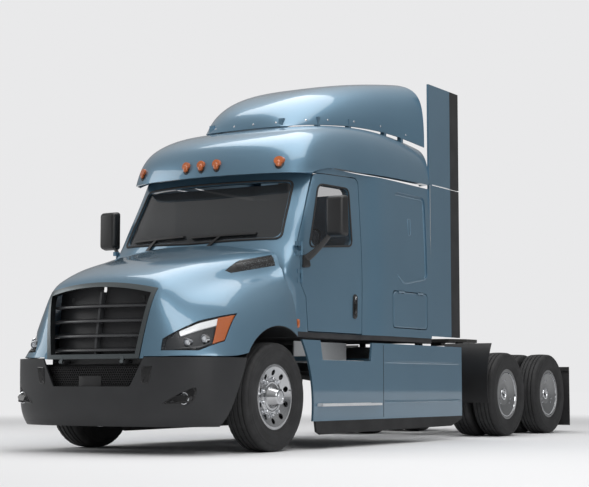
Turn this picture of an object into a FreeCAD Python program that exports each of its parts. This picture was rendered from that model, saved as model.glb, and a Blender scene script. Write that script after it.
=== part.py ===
import FreeCAD, Part
import math
import os
import Sketcher
from FreeCAD import Vector

os.makedirs("parts", exist_ok=True)
doc = FreeCAD.newDocument("tractor_unit")
sheet = doc.addObject("Spreadsheet::Sheet", "sizes")

# Driving sizes in millimetres. Lengths along the truck are measured from the front axle.
SIZES = {
    # overall lay-out
    "frontOverhang": 1300,
    "wheelBase": 5220,
    "tandemSpacing": 1320,
    "rearOverhang": 710,
    "bodyWidth": 2400,
    "topHeight": 4050,
    # frame rails
    "railSpan": 864,
    "railHeight": 267,
    "railWidth": 89,
    "railWall": 9,
    "railTop": 1030,
    "railNose": 1050,
    "crossDepth": 190,
    "crossWidth": 120,
    # tyres and wheels
    "tyreRadius": 508,
    "tyreWidth": 285,
    "treadCrown": 12,
    "grooveDepth": 14,
    "grooveWidth": 12,
    "rimRadius": 292,
    "rimLip": 12,
    "rimWall": 12,
    "discSeat": 172,
    "hubRadius": 108,
    "hubReach": 118,
    "handHole": 27,
    "handCircle": 226,
    "drumRadius": 215,
    "coverDish": 48,
    "coverFlat": 130,
    "coverHole": 42,
    "spindleRadius": 45,
    "hubPlay": 1,
    "frontTrack": 2060,
    "rearTrack": 1820,
    "dualSpacing": 330,
    # front axle and steering
    "kingpinSpan": 1770,
    "kingpinRadius": 22,
    "bossRadius": 48,
    "bossHeight": 120,
    "beamDepth": 105,
    "beamWidth": 100,
    "beamDrop": 95,
    "yokeWall": 34,
    "yokePlay": 2,
    "steerArm": 210,
    "tieRodRadius": 18,
    "tieRodDrop": 130,
    # drive axles
    "axleTube": 66,
    "axleBowl": 190,
    "axleNose": 330,
    # bumper
    "bumperTop": 862,
    "bumperBottom": 250,
    "bumperWall": 20,
    "notchTopWidth": 1200,
    "notchLowWidth": 880,
    "notchLow": 605,
    "meshWall": 22,
    "meshSlot": 26,
    "meshWeb": 12,
    "fogRadius": 55,
    # hood
    "noseReach": 1250,
    "hoodTop": 2000,
    "hoodWall": 12,
    "archRadius": 660,
    "linerWall": 6,
    "linerInner": 560,
    "hingeReach": 1272,
    "hingeHeight": 826,
    "hingeSpan": 700,
    "hingeRadius": 18,
    "hingePin": 7,
    "barrelRadius": 12,
    "barrelLength": 44,
    "leafReach": 70,
    "leafDepth": 36,
    "doorHinge": 1131,
    "grilleTopWidth": 1230,
    "grilleLowWidth": 1050,
    "grilleTop": 1480,
    "grilleCrown": 1545,
    "grilleLow": 850,
    "grilleFrame": 42,
    "grilleDepth": 60,
    "louvreHeight": 95,
    "louvrePitch": 148,
    "louvreCount": 4,
    "postWidth": 70,
    "lampDepth": 90,
    # cab and sleeper
    "cabWidth": 2240,
    "glassWidth": 1952,
    "cabWall": 70,
    "glassWall": 8,
    "glassInset": 14,
    "floorLow": 1080,
    "floorTop": 1130,
    "sillTop": 1140,
    "windscreenFoot": 190,
    "windscreenSet": 433,
    "windscreenRake": 410,
    "glassBase": 2020,
    "headTop": 2690,
    "cabTop": 2800,
    "doorFront": 500,
    "doorRear": 1680,
    "doorTop": 2750,
    "doorGap": 9,
    "sleeperSplit": 1745,
    "flareEnd": 2020,
    "sleeperRear": 3155,
    "capTop": 3380,
    "capWall": 22,
    "fairingWall": 14,
    "rimRise": 60,
    "rearFrame": 120,
    "footWidth": 48,
    "footRise": 96,
    "extenderEnd": 3690,
    "extenderEdge": 3915,
    "extenderWall": 24,
    # chassis fairings and steps
    "skirtTop": 1050,
    "skirtLow": 270,
    "skirtFront": 560,
    "skirtRear": 3910,
    "skirtWall": 22,
    "rubberLow": 140,
    "stepDepth": 300,
    "stepWall": 24,
    # fifth wheel
    "plateTop": 1200,
    "plateWall": 38,
    "plateWidth": 940,
    "plateLength": 900,
    "plateReach": 5760,
    "jawRadius": 25.6,
    "plateTilt": 60,
    "pinRadius": 24,
    # inside
    "seatWidth": 520,
    "steeringRadius": 225,
    # small pieces
    "pressDepth": 14,
    "markerRise": 30,
    "markerRadius": 42,
    "stepProud": 60,
    "guardGap": 110,
    "guardLow": 410,
    "guardTop": 1110,
    "flapLow": 90,
    "flapTop": 860,
    "tailWidth": 150,
    "tankRadius": 300,
    "mirrorSet": 770,
    "mirrorWidth": 230,
    "mirrorHeight": 420,
    "mirrorDepth": 120,
    "wiperRise": 24,
    # openings and clearances
    "seatGap": 0.3,
    "moveGap": 6,
    "panelGap": 8,
    "overrun": 40,
}


class Dim:
    """A length that knows its value and the sheet expression that gives it."""

    def __init__(self, value, text):
        self.value = value
        self.text = text

    @staticmethod
    def of(other):
        if isinstance(other, Dim):
            return other
        return Dim(float(other), repr(other))

    def __add__(self, other):
        other = Dim.of(other)
        return Dim(self.value + other.value, f"({self.text} + {other.text})")

    def __sub__(self, other):
        other = Dim.of(other)
        return Dim(self.value - other.value, f"({self.text} - {other.text})")

    def __mul__(self, share):
        share = Dim.of(share)
        return Dim(self.value * share.value, f"({self.text} * {share.text})")

    def __truediv__(self, share):
        share = Dim.of(share)
        return Dim(self.value / share.value, f"({self.text} / {share.text})")

    def __neg__(self):
        return Dim(-self.value, f"(0 - {self.text})")

    def __radd__(self, other):
        return Dim.of(other) + self

    def __rsub__(self, other):
        return Dim.of(other) - self

    __rmul__ = __mul__

    def __float__(self):
        return float(self.value)


class Named:
    """Every size of the sheet, by its name."""


size = Named()
for row, (name, value) in enumerate(SIZES.items(), start=1):
    sheet.set(f"A{row}", name)
    sheet.set(f"B{row}", str(value))
    sheet.setAlias(f"B{row}", name)
    setattr(size, name, Dim(value, "sizes." + name))
doc.recompute()

nodes = []
ORIGIN = Dim(0.0, "0")


def num(value):
    return float(Dim.of(value))


def vec(x, y, z):
    return Vector(num(x), num(y), num(z))


def blend(low, high, share):
    return low + (high - low) * share


def bind(item, path, value):
    item.setExpression(path, Dim.of(value).text)


def place(item, x=ORIGIN, y=ORIGIN, z=ORIGIN):
    for path, value in (("x", x), ("y", y), ("z", z)):
        bind(item, "Placement.Base." + path, value)
    return item


def node(item, label):
    item.Label = label
    nodes.append(item)
    return item


# Simple solids

def box(name, x, y, z):
    item = doc.addObject("Part::Box", name)
    bind(item, "Length", x[1] - x[0])
    bind(item, "Width", y[1] - y[0])
    bind(item, "Height", z[1] - z[0])
    return place(item, x[0], y[0], z[0])


TURNS = {
    "x": FreeCAD.Rotation(Vector(0, 1, 0), 90),
    "y": FreeCAD.Rotation(Vector(1, 0, 0), -90),
    "z": FreeCAD.Rotation(),
}


def rod(name, axis, centre, radius, start, end, end_radius=None):
    kind = "Part::Cylinder" if end_radius is None else "Part::Cone"
    item = doc.addObject(kind, name)
    if end_radius is None:
        bind(item, "Radius", radius)
    else:
        bind(item, "Radius1", radius)
        bind(item, "Radius2", end_radius)
    bind(item, "Height", end - start)
    item.Placement = FreeCAD.Placement(Vector(), TURNS[axis])
    spot = list(centre)
    spot.insert("xyz".index(axis), start)
    return place(item, *spot)


def root(value):
    return Dim(math.sqrt(value.value), f"sqrt({value.text})")


def strut(name, start, end, radius):
    """A round bar from one place to another, each given as x, y and z."""
    item = doc.addObject("Part::Cylinder", name)
    runs = [Dim.of(b) - Dim.of(a) for a, b in zip(start, end)]
    bind(item, "Radius", radius)
    bind(item, "Height", root(runs[0] * runs[0] + runs[1] * runs[1] + runs[2] * runs[2]))
    item.Placement = FreeCAD.Placement(Vector(), FreeCAD.Rotation(Vector(0, 0, 1), vec(*runs)))
    return place(item, *start)


def hinge(name, axis, centre, middle, inward, moving, fixed):
    """A hinge: its moving leaf, its fixed leaf with the pin, and the room that both need.

    centre gives the two places across the axis, inward the first one's leaf and
    moving and fixed how far each leaf runs along the second."""
    barrel = size.barrelRadius
    long = size.barrelLength
    ends = (middle - long / 2, middle + long / 2)
    outer = (ends[0] - long, ends[1] + long)

    def leaf(label, run, span):
        across = (centre[0] - inward, centre[0] - barrel / 3)
        along = (centre[1], centre[1] + run) if num(run) > 0 else (centre[1] + run, centre[1])
        if axis == "z":
            return box(name + label, across, along, span)
        return box(name + label, across, span, along)

    turning = fuse(name + "_turning", rod(name + "_barrel", axis, centre, barrel, *ends),
                   leaf("_leaf", moving, ends))
    bore = rod(name + "_bore", axis, centre, size.hingePin + size.hubPlay / 20, *outer)
    standing = [rod(name + "_pin", axis, centre, size.hingePin, *outer)]
    for label, one, other in (("_low", outer[0], ends[0] - size.hubPlay), ("_top", ends[1] + size.hubPlay, outer[1])):
        standing.append(rod(name + label, axis, centre, barrel, one, other))
        standing.append(leaf(label + "_leaf", fixed, (one, other)))
    room = rod(name + "_room", axis, centre, barrel + size.moveGap,
               outer[0] - size.moveGap, outer[1] + size.moveGap)
    return cut(name + "_moving", turning, bore), fuse(name + "_fixed", *standing), room


def ring(name, axis, centre, radius, thickness):
    item = doc.addObject("Part::Torus", name)
    bind(item, "Radius1", radius)
    bind(item, "Radius2", thickness)
    item.Placement = FreeCAD.Placement(Vector(), TURNS[axis])
    return place(item, *centre)


PLANES = {"xy": "XY_Plane", "xz": "XZ_Plane", "yz": "YZ_Plane"}


def sketch_on(body, plane, offset):
    sketch = body.newObject("Sketcher::SketchObject", body.Name + "_sketch")
    support = [item for item in body.Origin.OriginFeatures if item.Role == PLANES[plane]][0]
    sketch.AttachmentSupport = [(support, "")]
    sketch.MapMode = "FlatFace"
    if offset is not None:
        bind(sketch, "AttachmentOffset.Base.z", offset)
    return sketch


def draw(sketch, points):
    """Close an outline. A point marked arc is the middle of a round stretch."""
    corners = [point for point in points if len(point) == 2]
    middles = {}
    for place_in_list, point in enumerate(points):
        if len(point) == 3:
            before = sum(1 for other in points[:place_in_list] if len(other) == 2) - 1
            middles[before] = point
    count = len(corners)
    base = sketch.GeometryCount
    starts = []
    ends = []
    for index, corner in enumerate(corners):
        following = corners[(index + 1) % count]
        start = vec(corner[0], corner[1], 0)
        end = vec(following[0], following[1], 0)
        forward = True
        if index in middles:
            # a sketch's arc runs anticlockwise, so its first end may be the outline's second
            middle = vec(middles[index][0], middles[index][1], 0)
            forward = (middle - start).cross(end - start).z > 0
            curve = Part.Arc(start, middle, end) if forward else Part.Arc(end, middle, start)
            sketch.addGeometry(curve, False)
        else:
            sketch.addGeometry(Part.LineSegment(start, end), False)
        starts.append(1 if forward else 2)
        ends.append(2 if forward else 1)
    joins = []
    for index in range(count):
        after = (index + 1) % count
        joins.append(Sketcher.Constraint(
            "Coincident", base + index, ends[index], base + after, starts[after]))
    sketch.addConstraint(joins)
    for index, corner in enumerate(corners):
        for kind, value in (("DistanceX", corner[0]), ("DistanceY", corner[1])):
            number = sketch.addConstraint(Sketcher.Constraint(
                kind, -1, 1, base + index, starts[index], num(value)))
            bind(sketch, f"Constraints[{number}]", value)


def edges_at(shape, axis, spots):
    """Edges that run along an axis and pass through the given corners."""
    found = []
    for number, edge in enumerate(shape.Edges, start=1):
        if len(edge.Vertexes) != 2:
            continue
        run = edge.Vertexes[1].Point - edge.Vertexes[0].Point
        if run.Length == 0 or abs(run.dot(axis)) < run.Length * NEARLY_share:
            continue
        middle = (edge.Vertexes[1].Point + edge.Vertexes[0].Point) / 2
        for spot in spots:
            away = middle - spot
            away = away - axis * away.dot(axis)
            if away.Length < WELD:
                found.append(f"Edge{number}")
                break
    return found


NEARLY_share = 0.999
WELD = 0.01


def prism(name, plane, points, start, end, rounds=()):
    """A padded outline. rounds holds (radius, corners) for its long edges."""
    body = doc.addObject("PartDesign::Body", name)
    offset = -end if plane == "xz" else start
    sketch = sketch_on(body, plane, offset)
    draw(sketch, points)
    pad = body.newObject("PartDesign::Pad", name + "_pad")
    pad.Profile = sketch
    bind(pad, "Length", end - start)
    axis = {"xy": Vector(0, 0, 1), "xz": Vector(0, 1, 0), "yz": Vector(1, 0, 0)}[plane]
    for number, (radius, corners) in enumerate(rounds):
        doc.recompute()
        spots = []
        for a, b in corners:
            spots.append({"xy": vec(a, b, 0), "xz": vec(a, 0, b), "yz": vec(0, a, b)}[plane])
        previous = body.Tip
        edges = edges_at(previous.Shape, axis, spots)
        fillet = body.newObject("PartDesign::Fillet", f"{name}_round{number}")
        fillet.Base = (previous, edges)
        bind(fillet, "Radius", radius)
    return body


def turned(name, points, x=ORIGIN, y=ORIGIN, z=ORIGIN):
    """A profile of (along, radius) points turned about the body's own X axis."""
    body = doc.addObject("PartDesign::Body", name)
    sketch = sketch_on(body, "xy", None)
    draw(sketch, points)
    turn = body.newObject("PartDesign::Revolution", name + "_turn")
    turn.Profile = sketch
    turn.ReferenceAxis = (sketch, ["H_Axis"])
    turn.Angle = 360
    return place(body, x, y, z)


def cut(name, base, *tools):
    tool = tools[0] if len(tools) == 1 else fuse(name + "_tools", *tools)
    item = doc.addObject("Part::Cut", name)
    item.Base = base
    item.Tool = tool
    return item


def fuse(name, *items):
    item = doc.addObject("Part::MultiFuse", name)
    item.Shapes = list(items)
    return item


def common(name, base, tool):
    item = doc.addObject("Part::Common", name)
    item.Base = base
    item.Tool = tool
    return item


def mirrored(name, item):
    copy = doc.addObject("Part::Mirroring", name)
    copy.Source = item
    copy.Normal = (1, 0, 0)
    copy.Base = (0, 0, 0)
    return copy


def together(name, *items):
    item = doc.addObject("Part::Compound", name)
    item.Links = list(items)
    return item


def both_sides(name, item):
    return together(name, item, mirrored(name + "_right", item))


# Curved panels: a sheet through rows of poles, thickened along its own normals

def whole_row(row):
    """A row of poles from the centre line outwards, continued on the other side."""
    other = [Vector(-point.x, point.y, point.z) for point in reversed(row) if point.x > 0]
    return other + row


def moved_in(grid, depth):
    rows = len(grid)
    columns = len(grid[0])
    result = []
    for i in range(rows):
        row = []
        for j in range(columns):
            along = grid[min(i + 1, rows - 1)][j] - grid[max(i - 1, 0)][j]
            across = grid[i][min(j + 1, columns - 1)] - grid[i][max(j - 1, 0)]
            normal = across.cross(along)
            normal.normalize()
            row.append(grid[i][j] - normal * depth)
        result.append(row)
    return result


def sheet_face(grid):
    def knots(count):
        degree = min(3, count - 1)
        inner = count - degree
        return degree, list(range(inner + 1)), [degree + 1] + [1] * (inner - 1) + [degree + 1]

    surface = Part.BSplineSurface()
    degree_u, knots_u, mults_u = knots(len(grid))
    degree_v, knots_v, mults_v = knots(len(grid[0]))
    surface.buildFromPolesMultsKnots(
        grid, mults_u, mults_v, knots_u, knots_v, False, False, degree_u, degree_v)
    return surface


def border(surface):
    u_low, u_high, v_low, v_high = surface.bounds()
    return [surface.uIso(u_low).toShape(), surface.vIso(v_high).toShape(),
            surface.uIso(u_high).toShape(), surface.vIso(v_low).toShape()]


def solid_of(faces):
    shell = Part.makeShell(faces)
    shell.sewShape()
    solid = Part.makeSolid(shell)
    if solid.Volume < 0:
        solid.reverse()
    return solid


def thick(grid, start, end):
    """The solid between a sheet moved in by start and the same sheet moved in by end."""
    outer = sheet_face(moved_in(grid, num(start)))
    inner = sheet_face(moved_in(grid, num(end)))
    faces = [outer.toShape(), inner.toShape()]
    for one, other in zip(border(outer), border(inner)):
        faces.append(Part.makeRuledSurface(one, other))
    return solid_of(faces)


def feature(name, shape):
    item = doc.addObject("Part::Feature", name)
    item.Shape = shape
    return item


def panel(name, grid, wall, depth=ORIGIN):
    return feature(name, thick(grid, depth, depth + wall))


# Main places, worked out from the driving sizes
half = 1 / 2
overall = size.frontOverhang + size.wheelBase + size.tandemSpacing + size.rearOverhang
axle_y = size.frontOverhang - overall / 2
first_y = axle_y + size.wheelBase
second_y = first_y + size.tandemSpacing
rear_y = second_y + size.rearOverhang
wheel_z = size.tyreRadius
body_half = size.bodyWidth / 2
cab_half = size.cabWidth / 2
rail_half = size.railSpan / 2
rail_low = size.railTop - size.railHeight
cross_low = size.railTop - (size.railHeight + size.crossDepth) / 2
cross_top = size.railTop - (size.railHeight - size.crossDepth) / 2


def at(distance):
    """A place along the truck, measured from the front axle."""
    return axle_y + distance


# Frame: two channel rails, cross members and the brackets that carry the bumper
def frame():
    outer = rail_half
    web = rail_half - size.railWall
    lip = rail_half - size.railWidth
    low, top = rail_low, size.railTop
    outline = [(outer, low), (outer, top), (lip, top), (lip, top - size.railWall),
               (web, top - size.railWall), (web, low + size.railWall),
               (lip, low + size.railWall), (lip, low)]
    rail = prism("rail", "xz", outline, at(-size.railNose), rear_y)
    members = [rail, mirrored("rail_right", rail)]
    span = (-web, web)
    for number, share in enumerate(cross_shares):
        centre = at(size.wheelBase * share)
        members.append(box(f"cross_{number}", span,
                           (centre - size.crossWidth / 2, centre + size.crossWidth / 2),
                           (cross_low, cross_top)))
    members.append(box("cross_front", span, (at(-size.railNose), at(-size.railNose) + size.crossWidth),
                       (rail_low, cross_low)))
    members.append(box("cross_rear", span, (rear_y - size.railWall, rear_y), (rail_low, size.railTop)))
    node(fuse("frame_solid", *members), "frame_rails")


cross_shares = (0.40, 0.62, 0.84, 1.125, 1.34)


# Wheels and tyres
def tyre_points(front):
    """Half of the tyre's section is mirrored by its shares of width and radius."""
    half_width = size.tyreWidth / 2
    bead = size.rimRadius + size.rimLip
    crown = size.tyreRadius
    points = []
    for side in (-1, 1):
        wall = [(half_width * (side * bead_share), bead),
                (half_width * side, blend(bead, crown, bulge_share)),
                (half_width * (side * shoulder_share), crown - size.treadCrown)]
        points += wall if side < 0 else wall[::-1]
        if side < 0:
            grooves = groove_shares if front else groove_shares[1:-1]
            for share in grooves:
                spot = half_width * share
                points += [(spot - size.grooveWidth / 2, crown),
                           (spot, crown - size.grooveDepth),
                           (spot + size.grooveWidth / 2, crown)]
    return points


bead_share = 0.80
bulge_share = 0.42
shoulder_share = 0.93
groove_shares = (-0.62, -0.31, 0.0, 0.31, 0.62)


def rim_sizes():
    """Half the rim's width, its lip, its seat and its inside, as radii."""
    half_width = size.tyreWidth / 2 * bead_share
    lip = size.rimRadius + size.rimLip - size.seatGap
    seat = size.rimRadius
    inner = seat - size.rimWall
    return half_width, lip, seat, inner


def plate_place():
    """Where the knuckle's round plate starts, outboard of the axle's boss."""
    return size.kingpinSpan / 2 + size.bossRadius + size.moveGap


def front_wheel(side, label):
    centre = size.frontTrack / 2
    half_width, lip, seat, inner = rim_sizes()
    hub = size.hubRadius
    bore = size.spindleRadius + size.hubPlay
    face = half_width * face_share
    drum_start = plate_place() + size.yokeWall + size.moveGap - centre
    outline = [
        (half_width, lip), (half_width, inner), (face + size.rimWall * 2, size.discSeat),
        (face + size.rimWall * 3, hub), (face + size.hubReach, hub * cap_share),
        (face + size.hubReach, 0), (half_width - size.hubReach, 0),
        (half_width - size.hubReach, bore), (drum_start, bore),
        (drum_start, size.drumRadius), (face, size.drumRadius), (face, inner),
        (-half_width, inner), (-half_width, lip), (-half_width * lip_share, seat),
        (half_width * lip_share, seat),
    ]
    wheel = turned("wheel_" + label, outline, centre, at(ORIGIN), wheel_z)
    holes = []
    for number in range(hand_hole_count):
        angle = math.radians(360 * number / hand_hole_count)
        holes.append(rod(f"hand_{label}_{number}", "x",
                         (at(ORIGIN) + size.handCircle * math.sin(angle),
                          wheel_z + size.handCircle * math.cos(angle)),
                         size.handHole, centre + face - size.overrun, centre + half_width + size.overrun))
    item = cut("drilled_" + label, wheel, *holes)
    if side < 0:
        item = mirrored("drilled_mirror_" + label, item)
    node(item, "front_wheel_" + label)
    tyre = turned("tyre_" + label, tyre_points(True), centre * side, at(ORIGIN), wheel_z)
    node(tyre, "front_tyre_" + label)


face_share = 0.45
cap_share = 0.62
hub_share = 0.45
lip_share = 0.86
hand_hole_count = 10


def drive_wheels(side, label, y):
    """Twin wheels: two rims joined at their discs, and two tyres."""
    half_width, lip, seat, inner = rim_sizes()
    reach = size.dualSpacing / 2
    bore = size.axleTube * spindle_share + size.hubPlay
    start = -reach - half_width
    end = reach + half_width
    disc = ORIGIN + size.rimWall
    dish = end - size.coverDish
    hub_end = reach - size.hubReach * hub_share
    lip_run = half_width * rim_share
    outline = [
        (end, lip), (end, inner), (end - size.rimWall, inner - size.rimWall / 2),
        (dish, size.coverFlat), (dish - size.rimWall / 3, size.coverHole),
        (dish - size.rimWall, size.coverHole), (dish - size.rimWall, size.coverFlat),
        (end - size.rimWall * 2, inner - size.rimWall / 2), (end - size.rimWall * 2.5, inner),
        (disc, inner), (disc, size.discSeat), (hub_end - size.rimWall, size.hubRadius), (hub_end, size.hubRadius * cap_share),
        (hub_end, 0), (hub_end - size.rimWall, 0), (hub_end - size.rimWall, bore), (start, bore),
        (start, size.drumRadius), (-disc, size.drumRadius), (-disc, inner), (start, inner), (start, lip),
        (start + lip_run, seat), (-reach + half_width - lip_run, seat), (-reach + half_width, lip),
        (-reach + half_width + size.rimWall / 2, seat), (reach - half_width - size.rimWall / 2, seat),
        (reach - half_width, lip), (reach - half_width + lip_run, seat), (end - lip_run, seat),
    ]
    centre = size.rearTrack / 2
    item = turned("drive_" + label, outline, centre, y, wheel_z)
    if side < 0:
        item = mirrored("drive_mirror_" + label, item)
    node(item, "drive_wheel_" + label)
    tyres = []
    for number, sign in enumerate((-1, 1)):
        tyres.append(turned(f"drive_tyre_{label}_{number}", tyre_points(False),
                            centre * side + reach * sign, y, wheel_z))
    node(together("drive_tyres_" + label, *tyres), "drive_tyres_" + label)


spindle_share = 0.82
dish_share = 0.86
rim_share = 0.14


# Front axle beam, knuckles and tie rod
def steering():
    pin_x = size.kingpinSpan / 2
    seat_x = rail_half
    beam_z = wheel_z - size.beamDrop
    low = beam_z - size.beamDepth / 2
    top = beam_z + size.beamDepth / 2
    boss_low = wheel_z - size.bossHeight / 2
    boss_top = wheel_z + size.bossHeight / 2
    neck = pin_x - size.bossRadius / 2
    swan = pin_x - size.bossRadius * swan_share
    outline = [(-neck, boss_low), (-neck, boss_top), (-swan, boss_top), (-seat_x - size.railWidth, top),
               (seat_x + size.railWidth, top), (swan, boss_top), (neck, boss_top), (neck, boss_low),
               (swan, boss_low), (seat_x + size.railWidth, low), (-seat_x - size.railWidth, low),
               (-swan, boss_low)]
    beam = prism("beam", "xz", outline, at(-size.beamWidth / 2), at(size.beamWidth / 2))
    web = (size.beamWidth - size.yokeWall) / 2
    waist = size.beamDepth / 5
    for_front = box("beam_front", (-seat_x, seat_x), (at(-size.beamWidth / 2), at(-size.beamWidth / 2) + web / 2),
                    (low + waist, top - waist))
    for_rear = box("beam_rear", (-seat_x, seat_x), (at(size.beamWidth / 2) - web / 2, at(size.beamWidth / 2)),
                   (low + waist, top - waist))
    bosses = [rod(f"boss_{sign}", "z", (pin_x * sign, at(ORIGIN)), size.bossRadius, boss_low, boss_top)
              for sign in (-1, 1)]
    bores = [rod(f"boss_bore_{sign}", "z", (pin_x * sign, at(ORIGIN)), size.kingpinRadius + size.hubPlay / 20,
                 boss_low - size.overrun, boss_top + size.overrun) for sign in (-1, 1)]
    whole = fuse("axle_whole", beam, *bosses)
    node(cut("front_axle_solid", whole, for_front, for_rear, *bores), "front_axle")

    # the knuckle holds the boss between two ears, on the kingpin
    ear_low = boss_low - size.yokePlay - size.yokeWall
    ear_top = boss_top + size.yokePlay + size.yokeWall
    plate_x = plate_place()
    pin = rod("kingpin", "z", (pin_x, at(ORIGIN)), size.kingpinRadius, ear_low, ear_top)
    ears = []
    for number, (one, other) in enumerate(((ear_low, boss_low - size.yokePlay),
                                           (boss_top + size.yokePlay, ear_top))):
        ears.append(rod(f"ear_{number}", "z", (pin_x, at(ORIGIN)), size.bossRadius, one, other))
        ears.append(box(f"ear_block_{number}", (pin_x, plate_x + size.yokeWall),
                        (at(-size.bossRadius), at(size.bossRadius)), (one, other)))
    back = rod("knuckle_plate", "x", (at(ORIGIN), wheel_z), size.drumRadius * plate_share,
               plate_x, plate_x + size.yokeWall)
    # the spindle stops inside the hub
    wheel_centre = size.frontTrack / 2
    spindle_end = wheel_centre + size.tyreWidth / 2 * bead_share - size.hubReach - size.moveGap
    spindle = rod("spindle", "x", (at(ORIGIN), wheel_z), size.spindleRadius, plate_x, spindle_end)
    rod_z = wheel_z - size.tieRodDrop
    arm_y = at(size.steerArm)
    ball_x = pin_x
    arm = prism("steer_arm", "xy", [
        (pin_x - size.bossRadius / 2, at(ORIGIN)), (plate_x + size.yokeWall, at(ORIGIN)),
        (ball_x + size.tieRodRadius, arm_y), (ball_x - size.tieRodRadius, arm_y)],
        ear_low, boss_low - size.yokePlay)
    ball = rod("steer_ball", "z", (ball_x, arm_y), size.tieRodRadius, rod_z - size.tieRodRadius * 2,
               boss_low - size.yokePlay)
    left = fuse("knuckle_left_solid", pin, back, spindle, arm, ball, *ears)
    node(left, "knuckle_left")
    node(mirrored("knuckle_right_solid", left), "knuckle_right")

    # the rod's eyes ride on the two balls
    eye = size.tieRodRadius * 2
    parts = [rod("tie_bar", "x", (arm_y, rod_z), size.tieRodRadius, -ball_x, ball_x)]
    holes = []
    for sign in (-1, 1):
        parts.append(rod(f"tie_eye_{sign}", "z", (ball_x * sign, arm_y), eye,
                         rod_z - size.tieRodRadius * eye_share, rod_z + size.tieRodRadius * eye_share))
        holes.append(rod(f"tie_hole_{sign}", "z", (ball_x * sign, arm_y), size.tieRodRadius + size.hubPlay / 20,
                         rod_z - size.overrun, rod_z + size.overrun))
    node(cut("tie_rod_solid", fuse("tie_whole", *parts), *holes), "tie_rod")


plate_share = 0.62
eye_share = 1.4
swan_share = 2.4


# Drive axles with their bowls and noses
def drive_axles():
    solids = []
    reach = size.rearTrack / 2 + size.dualSpacing / 2
    end = reach - size.hubReach * hub_share - size.rimWall - size.moveGap
    inner = size.rearTrack / 2 - size.dualSpacing / 2 - size.tyreWidth / 2 * bead_share - size.moveGap
    for number, y in enumerate((first_y, second_y)):
        tube = rod(f"axle_tube_{number}", "x", (y, wheel_z), size.axleTube, -inner, inner)
        thin = rod(f"axle_spindle_{number}", "x", (y, wheel_z), size.axleTube * spindle_share, -end, end)
        bowl = doc.addObject("Part::Sphere", f"axle_bowl_{number}")
        bind(bowl, "Radius", size.axleBowl)
        place(bowl, ORIGIN, y, wheel_z)
        nose = rod(f"axle_nose_{number}", "y", (ORIGIN, wheel_z), size.axleBowl * nose_share,
                   y - size.axleNose, y, size.axleBowl * bowl_share)
        parts = [tube, thin, bowl, nose]
        for sign in (-1, 1):
            seat = (rail_half - size.railWidth, rail_half)
            parts.append(box(f"axle_seat_{number}_{sign}", seat if sign > 0 else (-seat[1], -seat[0]),
                             (y - size.axleTube, y + size.axleTube),
                             (wheel_z, wheel_z + size.axleTube + size.railWall)))
        solids.append(fuse(f"drive_axle_{number}", *parts))
    node(together("drive_axles_set", *solids), "drive_axles")


nose_share = 0.4
bowl_share = 0.9


# Springs: leaf springs at the front, air bags on trailing beams at the rear
def suspension():
    axle_top = wheel_z - size.beamDrop + size.beamDepth / 2
    leaf = size.yokeWall
    reach = size.railNose * leaf_share
    x = (rail_half - size.railWidth, rail_half - size.railWall * 0)
    hang = rail_low
    arc_z = hang - leaf * 2
    outline = [(at(-reach), arc_z), (at(ORIGIN), axle_top, "arc"), (at(reach), arc_z),
               (at(reach), arc_z + leaf), (at(ORIGIN), axle_top + leaf, "arc"), (at(-reach), arc_z + leaf)]
    spring = prism("leaf_spring", "yz", outline, x[0], x[1])
    hangers = []
    for number, sign in enumerate((-1, 1)):
        middle = at(reach * sign)
        hangers.append(box(f"spring_hanger_{number}", x, (middle - leaf, middle + leaf), (arc_z, hang)))
    front = fuse("front_spring", spring, *hangers)
    solids = [front, mirrored("front_spring_right", front)]
    for number, y in enumerate((first_y, second_y)):
        tube_top = wheel_z + size.axleTube + size.railWall
        beam = box(f"trail_beam_{number}", x, (y - size.tandemSpacing * beam_share, y + size.tandemSpacing * bag_share),
                   (tube_top, tube_top + leaf))
        bag_y = y + size.tandemSpacing * bag_share - size.railWidth / 2
        bag = rod(f"air_bag_{number}", "z", ((x[0] + x[1]) / 2, bag_y), size.railWidth, tube_top + leaf, rail_low)
        hanger = box(f"beam_hanger_{number}", x, (y - size.tandemSpacing * beam_share,
                                                 y - size.tandemSpacing * beam_share + size.railWidth),
                     (tube_top, rail_low))
        rear = fuse(f"rear_spring_{number}", beam, bag, hanger)
        solids += [rear, mirrored(f"rear_spring_right_{number}", rear)]
    node(together("suspension_set", *solids), "suspension")


leaf_share = 0.62
beam_share = 0.36
bag_share = 0.26


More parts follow.
